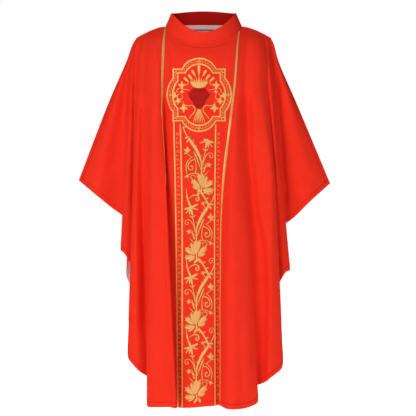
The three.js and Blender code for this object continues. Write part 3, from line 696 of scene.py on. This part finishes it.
class Drawing:
    """Strokes of thread, each with a finish: GOLD, APRICOT, OUTLINE_AND_SHADOW, CRIMSON or MAROON."""

    def __init__(self, name, centre, flip=1, keep=None, plump=1.0, edged_with_shadow=False):
        self.centre, self.flip, self.keep, self.plump = centre, flip, keep, plump
        self.edged_with_shadow = edged_with_shadow
        self.curve = bpy.data.curves.new(name, "CURVE")
        self.curve.dimensions = "3D"
        self.curve.bevel_depth = MM
        self.curve.bevel_resolution = 1
        self.curve.resolution_u = 4
        self.curve.use_fill_caps = True
        for material in STITCH_FINISHES:
            self.curve.materials.append(material)
        self.piece = bpy.data.objects.new(name, self.curve)
        bpy.context.scene.collection.objects.link(self.piece)

    def stroke(self, points, *widths, finish=0):
        """A stroke through points (x, z) in mm; the half widths in mm are spread evenly along it."""
        if self.keep is not None:
            points = [point for point in points if self.keep(*point)]
            if len(points) < 2:
                return
        if len(points) == 2:
            (ax, az), (bx, bz) = points
            points = [(ax, az), ((ax + bx) / 2, (az + bz) / 2), (bx, bz)]
        # the wider, darker stroke beneath is partly outline, partly painted shadow at the stroke's
        # edge
        if self.edged_with_shadow:
            self.lay(points, [self.plump * width + EDGE for width in widths], OUTLINE_AND_SHADOW,
                     OUTLINE_SINK)
        self.lay(points, [self.plump * width for width in widths], finish, 0)

    def lay(self, points, widths, finish, sink):
        """One spline; it lies deeper by `sink` times its width."""
        spline = self.curve.splines.new("NURBS")
        spline.points.add(len(points) - 1)
        spline.order_u = min(4, len(points))
        spline.use_endpoint_u = True
        spline.material_index = finish
        last = len(points) - 1
        for i, (x, z) in enumerate(points):
            share = i / last * (len(widths) - 1)
            low = min(int(share), max(len(widths) - 2, 0))
            high = min(low + 1, len(widths) - 1)
            width = widths[low] + (widths[high] - widths[low]) * (share - low)
            place = (self.centre[0] + self.flip * x * MM, sink * width * MM,
                     self.centre[1] + z * MM)
            spline.points[i].co = (*place, 1)
            spline.points[i].radius = width

    def bead(self, x, z, radius, finish=0):
        self.stroke([(x - radius * 0.5, z), (x, z), (x + radius * 0.5, z)], radius * 0.6, radius,
                    radius * 0.6, finish=finish)

    def sewn(self, name, slot, surface, side, *replaced):
        """The drawing as a mesh on the cloth; side is -1 for the front and 1 for the back."""
        select_only(self.piece)
        bpy.ops.object.convert(target="MESH")
        piece = bpy.context.object
        for vertex in piece.data.vertices:
            x, y, z = vertex.co
            relief = STITCH_RELIEF * math.tanh(-y / STITCH_RELIEF) + STITCH_SINK
            start, aim = Vector((x, side * RAY_START, z)), Vector((0, -side, 0))
            hit = surface.ray_cast(start, aim)[0]
            if hit is None:
                hit = surface.find_nearest(Vector((x, side * NEAR_CLOTH, z)))[0]
            vertex.co = (x, hit.y + side * relief, z)
        piece.data.update()
        if side > 0:
            edit(piece)
            bpy.ops.mesh.select_all(action="SELECT")
            bpy.ops.mesh.flip_normals()
            leave_edit()
        shade_smooth(piece, THREAD_ANGLE)
        bpy.ops.object.material_slot_remove_unused()
        return finish_piece(piece, name, slot, None, *replaced)


# %% [markdown]
# ## The vine
# One repeat of the vine is drawn once: a thick stem comes down from the leaf above, throws off
# scrolls, a bell flower and small leaves, and ends in a spread leaf whose blades are half old gold
# and half apricot. The first repeat is turned the other way, and the medallion cuts its top off.

# %% One repeat of the vine
LEAF_BLADES = [
    # foot, tip, fullness
    ((4, -6), (16, 40), 4.4),
    ((9, -9), (36, 17), 6.0),
    ((1, -8), (-13, 30), 4.4),
    ((3, -4), (1, 37), 4.6),
    ((-2, -7), (-31, 14), 6.0),
    ((0, -13), (-33, -17), 5.4),
    ((8, -17), (-4, -36), 3.0),
    ((11, -17), (16, -34), 3.0),
    ((9, -12), (32, -5), 4.2),
    ((-1, -15), (-22, -30), 3.2),
]


def blade(drawing, foot, tip, fullness, teeth=True):
    """A leaf blade: a gold half and an apricot half with the red cloth between as its vein."""
    (fx, fz), (tx, tz) = foot, tip
    dx, dz = tx - fx, tz - fz
    length = math.hypot(dx, dz)
    nx, nz = -dz / length, dx / length
    for side, finish in ((1, GOLD), (-1, APRICOT)):
        off = side * fullness * 0.62
        half = fullness * 0.55
        line = [(fx + dx * t + nx * off * b, fz + dz * t + nz * off * b)
                for t, b in ((0, 0.2), (0.25, 0.8), (0.5, 1.0), (0.75, 0.8), (1, 0.1))]
        drawing.stroke(line, 0.5, half, half * 1.15, half, 0.3, finish=finish)
        if teeth:
            for t in (0.45, 0.7):
                root = (fx + dx * t + nx * off, fz + dz * t + nz * off)
                point = (fx + dx * (t + 0.17) + nx * off * 2.5, fz + dz * (t + 0.17) + nz * off * 2.5)
                drawing.stroke([root, point], half * 0.8, half * 0.6, 0.2, finish=finish)


def spread_leaf(drawing):
    for foot, tip, fullness in LEAF_BLADES:
        blade(drawing, foot, tip, fullness, teeth=fullness > 4.2)
    drawing.stroke([(5, -20), (4, -8), (3, 2)], 2.2, 1.6, 0.6)


def small_leaf(drawing, x, z, reach, turn):
    """Three to five short blades about one point; turn is the middle blade's direction, degrees."""
    for swing, share in ((0, 1.0), (55, 0.85), (-55, 0.85), (115, 0.6), (-115, 0.6)):
        angle = math.radians(turn + swing)
        tip = (x + reach * share * math.sin(angle), z + reach * share * math.cos(angle))
        drawing.stroke([(x, z), tip], reach * 0.16, reach * 0.24, 0.3,
                       finish=APRICOT if swing in (55, -115) else GOLD)


def vine_stem(drawing):
    d = drawing
    d.stroke([(11, 195), (21, 184), (28, 171), (36, 159), (42, 145)], 2.6, 2.2, 1.6, 1.8, 2.8)
    d.stroke([(42, 147), (36, 134), (24, 119), (14, 100), (6, 79), (3, 59), (4, 38), (5, 22)],
             1.4, 2.6, 3.6, 3.4, 2.0, 1.4, 1.6, 2.2)
    d.stroke([(44, 143), (38, 131), (28, 117), (18, 100), (9, 80)], 0.9, 1.2, 1.4, 1.0, 0.5,
             finish=APRICOT)
    for knot in ((20, 187), (29, 171), (40, 151)):
        d.bead(*knot, 2.6)
    for foot, tip, fullness in (((41, 146), (51, 133), 2.4), ((43, 150), (57, 147), 2.4),
                                ((38, 152), (26, 156), 2.2), ((24, 181), (33, 186), 1.8),
                                ((13, 195), (5, 187), 1.8), ((33, 165), (43, 168), 1.8)):
        blade(d, foot, tip, fullness, teeth=False)
    for foot, tip in (((30, 126), (38, 126)), ((22, 118), (19, 127)), ((16, 102), (24, 103)),
                      ((8, 88), (2, 95)), ((30, 130), (25, 136))):
        d.stroke([foot, tip], 1.4, 1.1, 0.3, finish=APRICOT)
    # the stem that runs beside it, ending in a pointed leaf
    d.stroke([(6, 50), (13, 69), (20, 88), (24, 96), (29, 106)], 0.9, 1.4, 1.2, 2.2, 0.3)
    d.stroke([(20, 90), (17, 98), (16, 106)], 0.7, 1.6, 0.3, finish=APRICOT)
    # the great scroll
    d.stroke([(23, 38), (19, 58), (21, 76), (29, 90)], 1.5, 1.1, 1.1, 0.5)
    d.stroke([(34, 88), (46, 79), (53, 65), (53, 48), (47, 28)], 0.6, 1.0, 1.2, 1.2, 0.6)
    d.stroke([(25, 80), (35, 78), (44, 70), (48, 59), (43, 48), (34, 46), (29, 54), (33, 62),
              (38, 58)], 1.2, 1.3, 1.3, 1.4, 1.3, 1.2, 1.4, 2.0)
    # the tendril under it, with its hook and arrow leaf
    d.stroke([(17, 36), (27, 38), (38, 36), (47, 30), (59, 24)], 0.8, 1.0, 1.0, 1.0, 0.5)
    d.stroke([(21, 22), (24, 31), (33, 33), (39, 26), (36, 18), (31, 21)], 0.7, 0.9, 0.9, 0.9, 1.2)
    small_leaf(d, 48, 29, 9, 180)
    # the hanging leaf at the top of the scroll
    d.stroke([(33, 86), (42, 91), (49, 99)], 0.8, 1.0, 1.0)
    for foot, tip, fullness in (((49, 99), (48, 121), 3.4), ((49, 103), (59, 113), 2.6),
                                ((49, 104), (39, 112), 2.6), ((50, 101), (58, 99), 2.0)):
        blade(d, foot, tip, fullness, teeth=False)
    # the left spiral
    d.stroke([(1, 61), (-2, 79), (-10, 95), (-20, 102), (-30, 99), (-33, 91), (-28, 84),
              (-21, 86), (-20, 92), (-25, 93)], 1.4, 1.2, 1.0, 0.9, 0.9, 0.9, 0.9, 1.2)
    # the trident leaf and the long blades beside the stem
    d.stroke([(1, 50), (-6, 58), (-13, 61)], 0.8, 1.2, 0.8)
    small_leaf(d, -17, 63, 11, -80)
    d.stroke([(-2, 40), (-8, 58), (-11, 72)], 1.4, 2.2, 0.3)
    d.stroke([(-5, 30), (-12, 37), (-19, 46)], 1.2, 1.9, 0.3, finish=APRICOT)
    # the bell flower on its stalk
    d.stroke([(1, 69), (-3, 92), (-8, 104), (-9, 112)], 0.8, 0.9, 1.0, 1.4)
    d.stroke([(-18, 114), (-13, 110), (-9, 108), (-4, 110), (2, 115)], 0.4, 1.5, 1.8, 1.5, 0.4)
    for tip, fullness, finish in (((-34, 133), 4.4, GOLD), ((9, 149), 4.2, GOLD),
                                  ((-8, 114), 4.0, GOLD), ((-29, 120), 3.2, APRICOT),
                                  ((9, 132), 3.4, APRICOT), ((-18, 118), 2.6, GOLD)):
        d.stroke([(-14, 138), ((tip[0] - 14) / 2, (tip[1] + 138) / 2), tip],
                 2.0, fullness, 1.2, finish=finish)
    d.stroke([(-14, 140), (-16, 146), (-21, 157), (-25, 170), (-26, 184), (-29, 202)],
             3.0, 3.2, 2.0, 1.6, 1.0, 0.4)
    d.stroke([(-24, 163), (-28, 171), (-27, 179)], 0.5, 1.6, 0.3, finish=APRICOT)
    # the curl under the leaf above
    d.stroke([(-19, 166), (-13, 173), (-3, 178), (8, 177), (14, 168), (9, 158), (1, 160),
              (2, 168), (8, 168)], 0.6, 1.2, 1.4, 1.6, 1.6, 1.3, 1.1, 1.6)
    # the bud on the other side
    d.stroke([(34, 134), (28, 143), (24, 150)], 0.8, 1.2, 1.2)
    small_leaf(d, 24, 150, 8, -20)
    # the right spiral with its long leaf
    d.stroke([(43, 146), (54, 158), (60, 172), (61, 184)], 0.8, 1.2, 2.0, 1.0)
    d.stroke([(61, 182), (60, 193), (53, 199), (45, 195), (43, 187), (48, 180), (55, 184),
              (54, 190), (50, 190)], 0.9, 0.9, 0.9, 0.8, 0.8, 0.9, 1.2)


# %% The vine on the front
VINE_MIDDLE = -14 * MM
VINE_TOP = (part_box("vine_leaf_1")[0].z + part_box("vine_leaf_1")[1].z) / 2
VINE_REPEAT = 216 * MM
LEAF_ASIDE = 12 * MM
FIRST_LEAF_DROP, LEAF_DROP = 11 * MM, 3 * MM
PLUMP = 1.25


def under_medallion(x, z):
    """Whether a point of the first repeat, in mm, is clear of the medallion above it."""
    return z < 148 if abs(x) < 40 else z < 186


for i in range(4):
    turn = -1 if i == 0 else 1
    low_by = FIRST_LEAF_DROP if i == 0 else LEAF_DROP
    drawing = Drawing("vine", (VINE_MIDDLE - turn * LEAF_ASIDE, VINE_TOP - i * VINE_REPEAT - low_by),
                      flip=turn, keep=under_medallion if i == 0 else None, plump=PLUMP,
                      edged_with_shadow=True)
    vine_stem(drawing)
    spread_leaf(drawing)
    replaced = [f"vine_leaf_{i + 1}"] + ([f"vine_stem_{i}"] if i else [])
    drawing.sewn(f"vine_{i + 1}", "gold_thread", front_surface, FRONT_SIDE, *replaced)
print("vine sewn")

# %% [markdown]
# ## The medallion
# A barbed quatrefoil frame holds a heart with flames and rays above it, leafy twigs at its sides and
# roots below. Each motif is drawn about the medallion's middle; what is alike on both sides is drawn
# once and mirrored by a loop.

# %% Heart
MEDALLION = (VINE_MIDDLE, -236 * MM)
HEART_HALF_WIDTH, HEART_TOP, HEART_TIP = 29, 19, 47
HEART_ROW = 2.4


def heart_rows():
    """(x, bottom, top) of each upright row of satin stitch in the heart."""
    count = int(HEART_HALF_WIDTH / HEART_ROW)
    for i in range(-count, count + 1):
        x = i * HEART_ROW
        share = abs(x) / HEART_HALF_WIDTH
        top = HEART_TOP + 1.5 * math.sin(math.pi * share) - 15 * share ** 6
        bottom = -HEART_TIP * (1 - share ** 2.1) + 2
        yield x, bottom, top


drawing = Drawing("heart", MEDALLION)
for number, (x, bottom, top) in enumerate(heart_rows()):
    steps = [(x, bottom + (top - bottom) * share) for share in (0, 0.2, 0.4, 0.6, 0.8, 1)]
    drawing.stroke(steps, 1.0, 1.5, 1.5, 1.0, finish=CRIMSON)
    for share in (0.3, 0.7):
        z = bottom + (top - bottom) * (share + 0.2 * math.sin(2.3 * number))
        drawing.bead(x + 0.8, z, 0.8, finish=MAROON)
# three bands of thorns cross the heart, each a little shorter than the one above
THORN_LENGTH, THORN_SPACING, BAND_REACH, BAND_SHORTER = 5.5, 6, 35, 4
for row, (height, sag) in enumerate(((2, 7), (-5, 7), (-12, 6))):
    reach = BAND_REACH - BAND_SHORTER * row
    drawing.stroke([(x, height - sag * (1 - (x / reach) ** 2) + 1.5 * math.sin(x))
                    for x in range(-reach, reach + 1, 5)], 1.1, 1.3, 1.3, 1.1, finish=MAROON)
    for x in range(-reach, reach + 1, THORN_SPACING):
        z = height - sag * (1 - (x / reach) ** 2)
        drawing.stroke([(x, z), (x + 2, z + THORN_LENGTH)], 0.9, 0.3, finish=MAROON)
drawing.sewn("stitched_heart", "crimson_thread", front_surface, FRONT_SIDE, "heart")

# %% Flames and rays
drawing = Drawing("flames", MEDALLION)
for height, reach, fullness in ((37, 27, 3.8), (32, 25, 3.8), (27, 21, 3.6)):
    drawing.stroke([(-reach, height + 3), (-reach * 0.6, height - 2), (0, height - 4),
                    (reach * 0.6, height - 2), (reach, height + 3)], 2, fullness, fullness, 2)
FLAMES = [(0, 62, 3.0), (8, 55, 2.6), (15, 50, 2.4), (21, 48, 2.0), (27, 47, 1.6)]
for reach, height, fullness in FLAMES:
    for side in ((1,) if reach == 0 else (-1, 1)):
        foot = side * reach * 0.75
        drawing.stroke([(foot, 34), (side * reach * 0.8, 41), (side * reach, height)],
                       fullness, fullness * 0.9, 0.3)
drawing.sewn("stitched_flames", "gold_thread", front_surface, FRONT_SIDE, "heart_crown")

RAYS = [((-47, 54), (-32, 40)), ((-33, 63), (-20, 46)), ((-22, 77), (-11, 57)), ((0, 92), (0, 60)),
        ((22, 77), (11, 57)), ((33, 63), (20, 46)), ((47, 54), (32, 40))]
for number, (outer, inner) in enumerate(RAYS):
    drawing = Drawing("ray", MEDALLION)
    line = [tuple(o + (i - o) * share for o, i in zip(outer, inner)) for share in (0, 0.3, 0.65, 1)]
    drawing.stroke(line, 3.4, 5.0, 3.4, 0.7)
    drawing.sewn(f"stitched_ray_{number + 1}", "gold_thread", front_surface, FRONT_SIDE,
                 f"ray_{number + 1}")

# %% Roots
drawing = Drawing("roots", MEDALLION)
for reach in (-18, -12, -6, 0, 6, 12, 18):
    drawing.stroke([(reach * 0.2, -46), (reach * 0.35, -60), (reach * 0.85, -72), (reach, -88)],
                   0.9, 1.2, 1.9, 0.6)
for side in (-1, 1):
    drawing.stroke([(side * x, z) for x, z in
                    ((22, -33), (13, -38), (11, -50), (19, -61), (27, -68), (31, -75))],
                   1.4, 1.5, 1.3, 1.5, 0.8)
drawing.sewn("stitched_roots", "gold_thread", front_surface, FRONT_SIDE, "heart_roots")


# %% Twigs and leaves at the sides
def bell_leaf(drawing, x, z, reach, turn):
    """A leaf with a full head, two points beside it and a short stalk; turn is in degrees."""
    across, along = math.cos(math.radians(turn)), math.sin(math.radians(turn))

    def at(right, up):
        return x + reach * (right * across + up * along), z + reach * (up * across - right * along)

    drawing.stroke([at(0, -1), at(0, 0), at(0, 0.95)], reach * 0.18, reach * 0.5, 0.4)
    for side in (-1, 1):
        drawing.stroke([at(0, -0.25), at(side * 0.45, 0), at(side * 0.95, 0.1)],
                       reach * 0.3, reach * 0.42, 0.4)


# middle across and up, reach, turn of the four leaves of one side, as the frame names them
SIDE_LEAVES = [(54, 31, 13, 0), (78, -2, 12, 75), (66, -21, 11, 180), (48, -43, 14, 180)]
for side, name in ((-1, "left"), (1, "right")):
    for number, (x, z, reach, turn) in enumerate(SIDE_LEAVES):
        drawing = Drawing("leaf", MEDALLION, flip=side)
        bell_leaf(drawing, x, z, reach, turn)
        if number == 0:
            drawing.stroke([(54, 20), (50, 17), (30, 15)], 1.2, 1.2, 0.7)
            drawing.stroke([(44, 29), (38, 34), (31, 38)], 0.8, 1.0, 0.7)
            drawing.stroke([(38, 34), (34, 30)], 0.9, 0.4)
        elif number == 1:
            drawing.stroke([(68, 8), (72, 15), (66, 20), (57, 22)], 1.6, 1.5, 1.2, 1.0)
            bell_leaf(drawing, 53, 9, 7, 180)
        elif number == 2:
            drawing.stroke([(60 + 9 * math.sin(t / 2), -6 + 9 * math.cos(t / 2))
                            for t in range(0, 12)], 1.0, 1.4, 1.4, 0.9)
        else:
            drawing.stroke([(43, -33), (34, -36), (22, -33)], 1.2, 1.4, 1.0)
            drawing.stroke([(50, -34), (51, -26), (48, -20)], 1.0, 0.8, 0.5)
        drawing.sewn(f"stitched_leaf_{name}_{number + 1}", "gold_thread", front_surface, FRONT_SIDE,
                     f"medallion_leaf_{name}_{number + 1}")
print("medallion sewn")

# %% [markdown]
# ## Ornament between the cords
# The frame of the medallion and the two borders are filled with small repeats: beads, ticks and
# curls that a machine stitches over and over. The medallion's line is a quatrefoil halfway between
# its two cords; a border's line runs halfway between the pieces on its two sides.

# %% Ornament in the medallion's frame
FRAME_HALF_WIDTH, FRAME_HALF_HEIGHT, FRAME_CORNER, LOBE_HALF_CHORD = 91.5, 105.5, 73.5, 48
FRAME_TICK, CROSS_ARM = 5.2, 7
CORNER_RING, RING_RADIUS = 76, 5.5


def lobe(apex, steps=12):
    """One round lobe of the quatrefoil, as an arc that is centred on its apex."""
    rise = apex - FRAME_CORNER
    radius = (LOBE_HALF_CHORD ** 2 + rise ** 2) / (2 * rise)
    half = math.asin(LOBE_HALF_CHORD / radius)
    angles = [half * (2 * i / steps - 1) for i in range(steps + 1)]
    return [(radius * math.sin(a), apex - radius * (1 - math.cos(a))) for a in angles]


top_lobe, side_lobe = lobe(FRAME_HALF_HEIGHT), lobe(FRAME_HALF_WIDTH)
outline = (top_lobe + [(FRAME_CORNER, FRAME_CORNER)] + [(z, -x) for x, z in side_lobe]
           + [(FRAME_CORNER, -FRAME_CORNER)] + [(-x, -z) for x, z in top_lobe]
           + [(-FRAME_CORNER, -FRAME_CORNER)] + [(-z, x) for x, z in side_lobe]
           + [(-FRAME_CORNER, FRAME_CORNER)])


def walk(line, step):
    """Points every `step` along a closed line, each with its direction."""
    left = 0.0
    for (ax, az), (bx, bz) in zip(line, line[1:] + line[:1]):
        length = math.hypot(bx - ax, bz - az)
        while left < length:
            share = left / length
            dx, dz = (bx - ax) / length, (bz - az) / length
            yield ax + (bx - ax) * share, az + (bz - az) * share, dx, dz
            left += step
        left -= length


drawing = Drawing("frame_ornament", MEDALLION)
for number, (x, z, dx, dz) in enumerate(walk(outline, FRAME_TICK)):
    lean = 1 if number % 2 else -1
    nx, nz = -dz * lean, dx * lean
    drawing.stroke([(x - 2.4 * dx - 3.2 * nx, z - 2.4 * dz - 3.2 * nz), (x, z),
                    (x + 1.5 * dx + 4.0 * nx, z + 1.5 * dz + 4.0 * nz)], 0.5, 0.9, 0.6,
                   finish=APRICOT if number % 3 == 0 else GOLD)
    if number % 2:
        drawing.bead(x + 3.2 * nx - 1.5 * dx, z + 3.2 * nz - 1.5 * dz, 1.1)
for x, z in ((0, FRAME_HALF_HEIGHT), (0, -FRAME_HALF_HEIGHT), (FRAME_HALF_WIDTH, 0),
             (-FRAME_HALF_WIDTH, 0)):
    drawing.stroke([(x, z - CROSS_ARM), (x, z + CROSS_ARM)], 0.6, 1.6, 0.6)
    drawing.stroke([(x - CROSS_ARM, z), (x + CROSS_ARM, z)], 0.6, 1.6, 0.6)
for across in (-1, 1):
    for up in (-1, 1):
        drawing.stroke([(across * (CORNER_RING + RING_RADIUS * math.sin(t)),
                         up * (CORNER_RING + RING_RADIUS * math.cos(t)))
                        for t in range(6)], 0.9, 1.2, 1.0)
drawing.sewn("frame_ornament", "gold_thread", front_surface, FRONT_SIDE)

# %% Ornament in the borders
BORDER_REPEAT = 13.5 * MM
BORDER_BOTTOM = 22 * MM
CORNERS_NEAR = 24


def line_of(name):
    """A strip's place across, as a function of height."""
    corners = [(v.co.z, v.co.x) for v in bpy.data.objects[name].data.vertices]
    top, bottom = max(corners)[0], min(corners)[0]

    def across(z):
        if not bottom < z < top:
            return None
        near = sorted(corners, key=lambda corner: abs(corner[0] - z))[:CORNERS_NEAR]
        return sum(x for _, x in near) / len(near)

    return across


def border_ornament(name, surface, side, one_edge, other_edge, top, bottom):
    """Beads with ticks, and curls, by turns, down the middle between the border's two edges."""
    drawing = Drawing(name, (0, 0))
    number = 0
    z = top
    while z > bottom:
        a, b = one_edge(z), other_edge(z)
        if a is not None and b is not None:
            x, height = (a + b) / 2 / MM, z / MM
            if number % 2:
                drawing.bead(x, height, 1.7)
                drawing.stroke([(x - 3.5, height + 3.5), (x - 2, height), (x - 3.5, height - 3.5)],
                               0.5, 0.8, 0.5, finish=APRICOT)
            else:
                lean = 1 if number % 4 else -1
                drawing.stroke([(x - 3 * lean, height - 4), (x - 3.5 * lean, height + 1),
                                (x, height + 3), (x + 3 * lean, height),
                                (x + 3.5 * lean, height + 4)], 0.6, 1.1, 1.1, 0.5, finish=APRICOT)
                drawing.stroke([(x + 1 * lean, height - 4), (x + 4 * lean, height - 2)], 1.1, 0.4)
        number += 1
        z -= BORDER_REPEAT
    drawing.sewn(name, "gold_thread", surface, side)


left_outer = line_of("border_cord_front_left_outer")
left_inner = line_of("border_cord_front_left_inner")
right_inner = line_of("border_cord_front_right_inner")
right_braid = line_of("woven_braid_front_right")
RIGHT_BORDER = 21 * MM


def right_outer(z):
    """The right border's outer edge: its own width away, or at the braid, whichever is nearer."""
    inner, braid = right_inner(z), right_braid(z)
    if inner is None or braid is None:
        return None
    return min(inner + RIGHT_BORDER, braid)


BORDER_START = 96 * MM
border_top = MEDALLION[1] - BORDER_START
border_ornament("border_ornament_front_left", front_surface, FRONT_SIDE, left_outer, left_inner,
                border_top, cad_low.z + BORDER_BOTTOM)
border_ornament("border_ornament_front_right", front_surface, FRONT_SIDE, right_inner, right_outer,
                border_top, cad_low.z + BORDER_BOTTOM)
print("borders filled")

# %% [markdown]
# ## The hem
# The raw edge is turned under twice and stitched down, which leaves a fine row of stitches about
# 15 mm from the edge all round. The row follows the shell's own boundary, moved inwards.

# %% Hem stitches
HEM_WIDTH = 15 * MM
HEM_THREAD = 0.55 * MM
HEM_LIFT = 0.4 * HEM_THREAD
HEM_SHORTEST = 8
NECK_HEIGHT = -0.07


def edge_chains(mesh):
    """The boundary's vertex numbers, in order, one list for each loop."""
    beside = {}
    for (a, b), count in edge_uses(mesh).items():
        if count == 1:
            beside.setdefault(a, []).append(b)
            beside.setdefault(b, []).append(a)
    left = set(beside)
    while left:
        chain = [min(left)]
        left.discard(chain[0])
        while True:
            onward = [n for n in beside[chain[-1]] if n in left]
            if not onward:
                break
            chain.append(onward[0])
            left.discard(onward[0])
        yield chain


def hem_stitches(name, shell, surface, side):
    """A row of thread a hem's width inside the free edge, below the neck."""
    mesh = shell.data
    inward = {}
    for face in mesh.polygons:
        for i in face.vertices:
            inward.setdefault(i, Vector())
            inward[i] += (face.center - mesh.vertices[i].co).normalized()
    curve = bpy.data.curves.new(name, "CURVE")
    curve.dimensions = "3D"
    curve.bevel_depth = HEM_THREAD
    curve.bevel_resolution = 1
    for chain in edge_chains(mesh):
        points = []
        for i in chain:
            place = mesh.vertices[i].co + inward[i].normalized() * HEM_WIDTH
            if place.z > NECK_HEIGHT:
                continue
            on_cloth, normal, _, _ = surface.find_nearest(place)
            out = normal if normal.y * side > 0 else -normal
            points.append(on_cloth + out * HEM_LIFT)
        if len(points) < HEM_SHORTEST:
            continue
        spline = curve.splines.new("POLY")
        spline.points.add(len(points) - 1)
        for point, place in zip(spline.points, points):
            point.co = (*place, 1)
    piece = bpy.data.objects.new(name, curve)
    bpy.context.scene.collection.objects.link(piece)
    select_only(piece)
    bpy.ops.object.convert(target="MESH")
    shade_smooth(bpy.context.object)
    return finish_piece(bpy.context.object, name, "crimson_thread", crimson_thread)


hem_stitches("hem_stitches_front", front_shell, front_surface, FRONT_SIDE)
hem_stitches("hem_stitches_back", back_shell, back_surface, BACK_SIDE)
print("hem stitched")

# %% [markdown]
# ## The back
# The same vine and borders run down the back, from the collar to the hem, without a medallion.

# %% The vine and borders on the back
for side in ("left", "right"):
    lines = [line_of(f"border_cord_back_{side}_{edge_name}") for edge_name in ("outer", "inner")]
    border_ornament(f"border_ornament_back_{side}", back_surface, BACK_SIDE, *lines,
                    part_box("border_cord_back_left_inner")[1].z, cad_low.z + BORDER_BOTTOM)
left_box, right_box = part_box("border_cord_back_left_inner"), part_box("border_cord_back_right_inner")
back_middle = (left_box[0].x + left_box[1].x + right_box[0].x + right_box[1].x) / 4
COLLAR_CLEAR = 12


def below_collar(row):
    """Keeps what lies below the collar in one row of the vine, whose points are in mm."""
    limit = (left_box[1].z - VINE_TOP) / MM + row * VINE_REPEAT / MM - COLLAR_CLEAR
    return lambda x, z: z < limit


for i in range(-1, 4):
    drawing = Drawing("vine", (back_middle - LEAF_ASIDE, VINE_TOP - i * VINE_REPEAT),
                      keep=below_collar(i), plump=PLUMP, edged_with_shadow=True)
    vine_stem(drawing)
    spread_leaf(drawing)
    drawing.sewn(f"vine_back_{i + 2}", "gold_thread", back_surface, BACK_SIDE)
print("back sewn")

# %% [markdown]
# ## The panels, cut
# Everything that follows the whole shell is in place now, so each shell is separated into the three
# panels it was welded from, and each panel gets its thickness: red twill outside, lining colour in.

# %% Panels
def cut_panels(shell):
    edit(shell)
    bpy.ops.mesh.separate(type="MATERIAL")
    leave_edit()
    for part in list(bpy.context.selected_objects):
        name = part.data.materials[0].name
        part.name = name.replace("_panel", "_cloth")
        part.data.materials.clear()
        part.data.materials.append(red_twill)
        part.data.materials.append(pale_lining)
        apply_modifier(part, "SOLIDIFY", thickness=CLOTH, offset=-1.0, material_offset=1)
        shade_smooth(part, LAYER_ANGLE)
        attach(part, "root")
        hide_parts(name)
        low, high = (Vector(part.bound_box[0]), Vector(part.bound_box[6]))
        print(part.name, len(part.data.polygons), [round(x, 3) for x in high - low])


cut_panels(front_shell)
cut_panels(back_shell)

# %% [markdown]
# ## What each piece of cloth was cut to
# Each piece of cloth is listed with the rectangle it was cut from and the area of the cut.
# The panels hang from the neck and shoulder seams, the linings too.
# The numbers were measured on the frame's own sheets. The area is half the closed sheet's surface,
# the width is the widest row along the cloth, and the length is the sum of each row's area over its
# width. The creases pressed here take up a little more cloth than that.

# %% Sheets
# width and length of the cloth each piece is cut from, and the cut's area, in metres
CUTS = {
    "front_left_cloth": (0.455, 1.245, 0.337),
    "front_centre_cloth": (0.242, 1.214, 0.253),
    "front_right_cloth": (0.482, 1.240, 0.369),
    "back_left_cloth": (0.445, 1.226, 0.330),
    "back_centre_cloth": (0.267, 1.219, 0.189),
    "back_right_cloth": (0.452, 1.226, 0.330),
    "lining_front": (0.807, 1.109, 0.597),
    "lining_back": (0.734, 1.102, 0.585),
}
for name, (width, length, area) in CUTS.items():
    side = "right" if "right" in name else "left"
print(len(CUTS), "sheets declared")

# %% [markdown]
# ## Floor and light
# Large soft lights keep the folds gentle. The key stands at the viewer's left, so each groove is dark
# on its left flank. The world is white to the camera and dim to the cloth.

# %% Floor and lights
FLOOR_DROP, FLOOR_RADIUS, FLOOR_GLOW = 0.09, 3.4, 0.74
bpy.ops.mesh.primitive_circle_add(
    vertices=96, radius=FLOOR_RADIUS, fill_type="NGON", location=(0, 0, cad_low.z - FLOOR_DROP)
)
floor = bpy.context.object
floor.name = "studio_floor"
# matt white paint, with a glow that keeps the floor from going grey under the garment
floor_paint = new_material(
    "floor_paint_matt", Base_Color=linear("#f6f4f1"), Roughness=0.8,
    Emission_Color=linear("#ffffff"), Emission_Strength=FLOOR_GLOW,
)[0]
floor.data.materials.append(floor_paint)


def soft_light(name, place, aim, size, power):
    bpy.ops.object.light_add(type="AREA", location=place)
    light = bpy.context.object
    light.name = name
    light.data.size = size
    light.data.energy = power
    light.rotation_euler = (Vector(aim) - Vector(place)).to_track_quat("-Z", "Y").to_euler()


CHEST = (0, 0, -0.5)
AMBIENT = 0.1
soft_light("key_light", (-1.7, -2.9, 1.5), CHEST, 1.2, 88)
soft_light("fill_light", (2.4, -2.6, 0.2), CHEST, 1.4, 26)
soft_light("back_light", (-0.9, 3.4, -0.1), CHEST, 1.6, 60)

world = bpy.data.worlds.new("studio")
bpy.context.scene.world = world
world.use_nodes = True
sky = world.node_tree
seen = add_node(sky, "ShaderNodeLightPath").outputs["Is Camera Ray"]
strength = add_node(
    sky, "ShaderNodeMapRange", Value=seen, To_Min=AMBIENT, To_Max=1.0
).outputs["Result"]
sky.links.new(strength, sky.nodes["Background"].inputs["Strength"])
sky.nodes["Background"].inputs["Color"].default_value = (1, 1, 1, 1)
bpy.context.scene.view_settings.view_transform = "Standard"
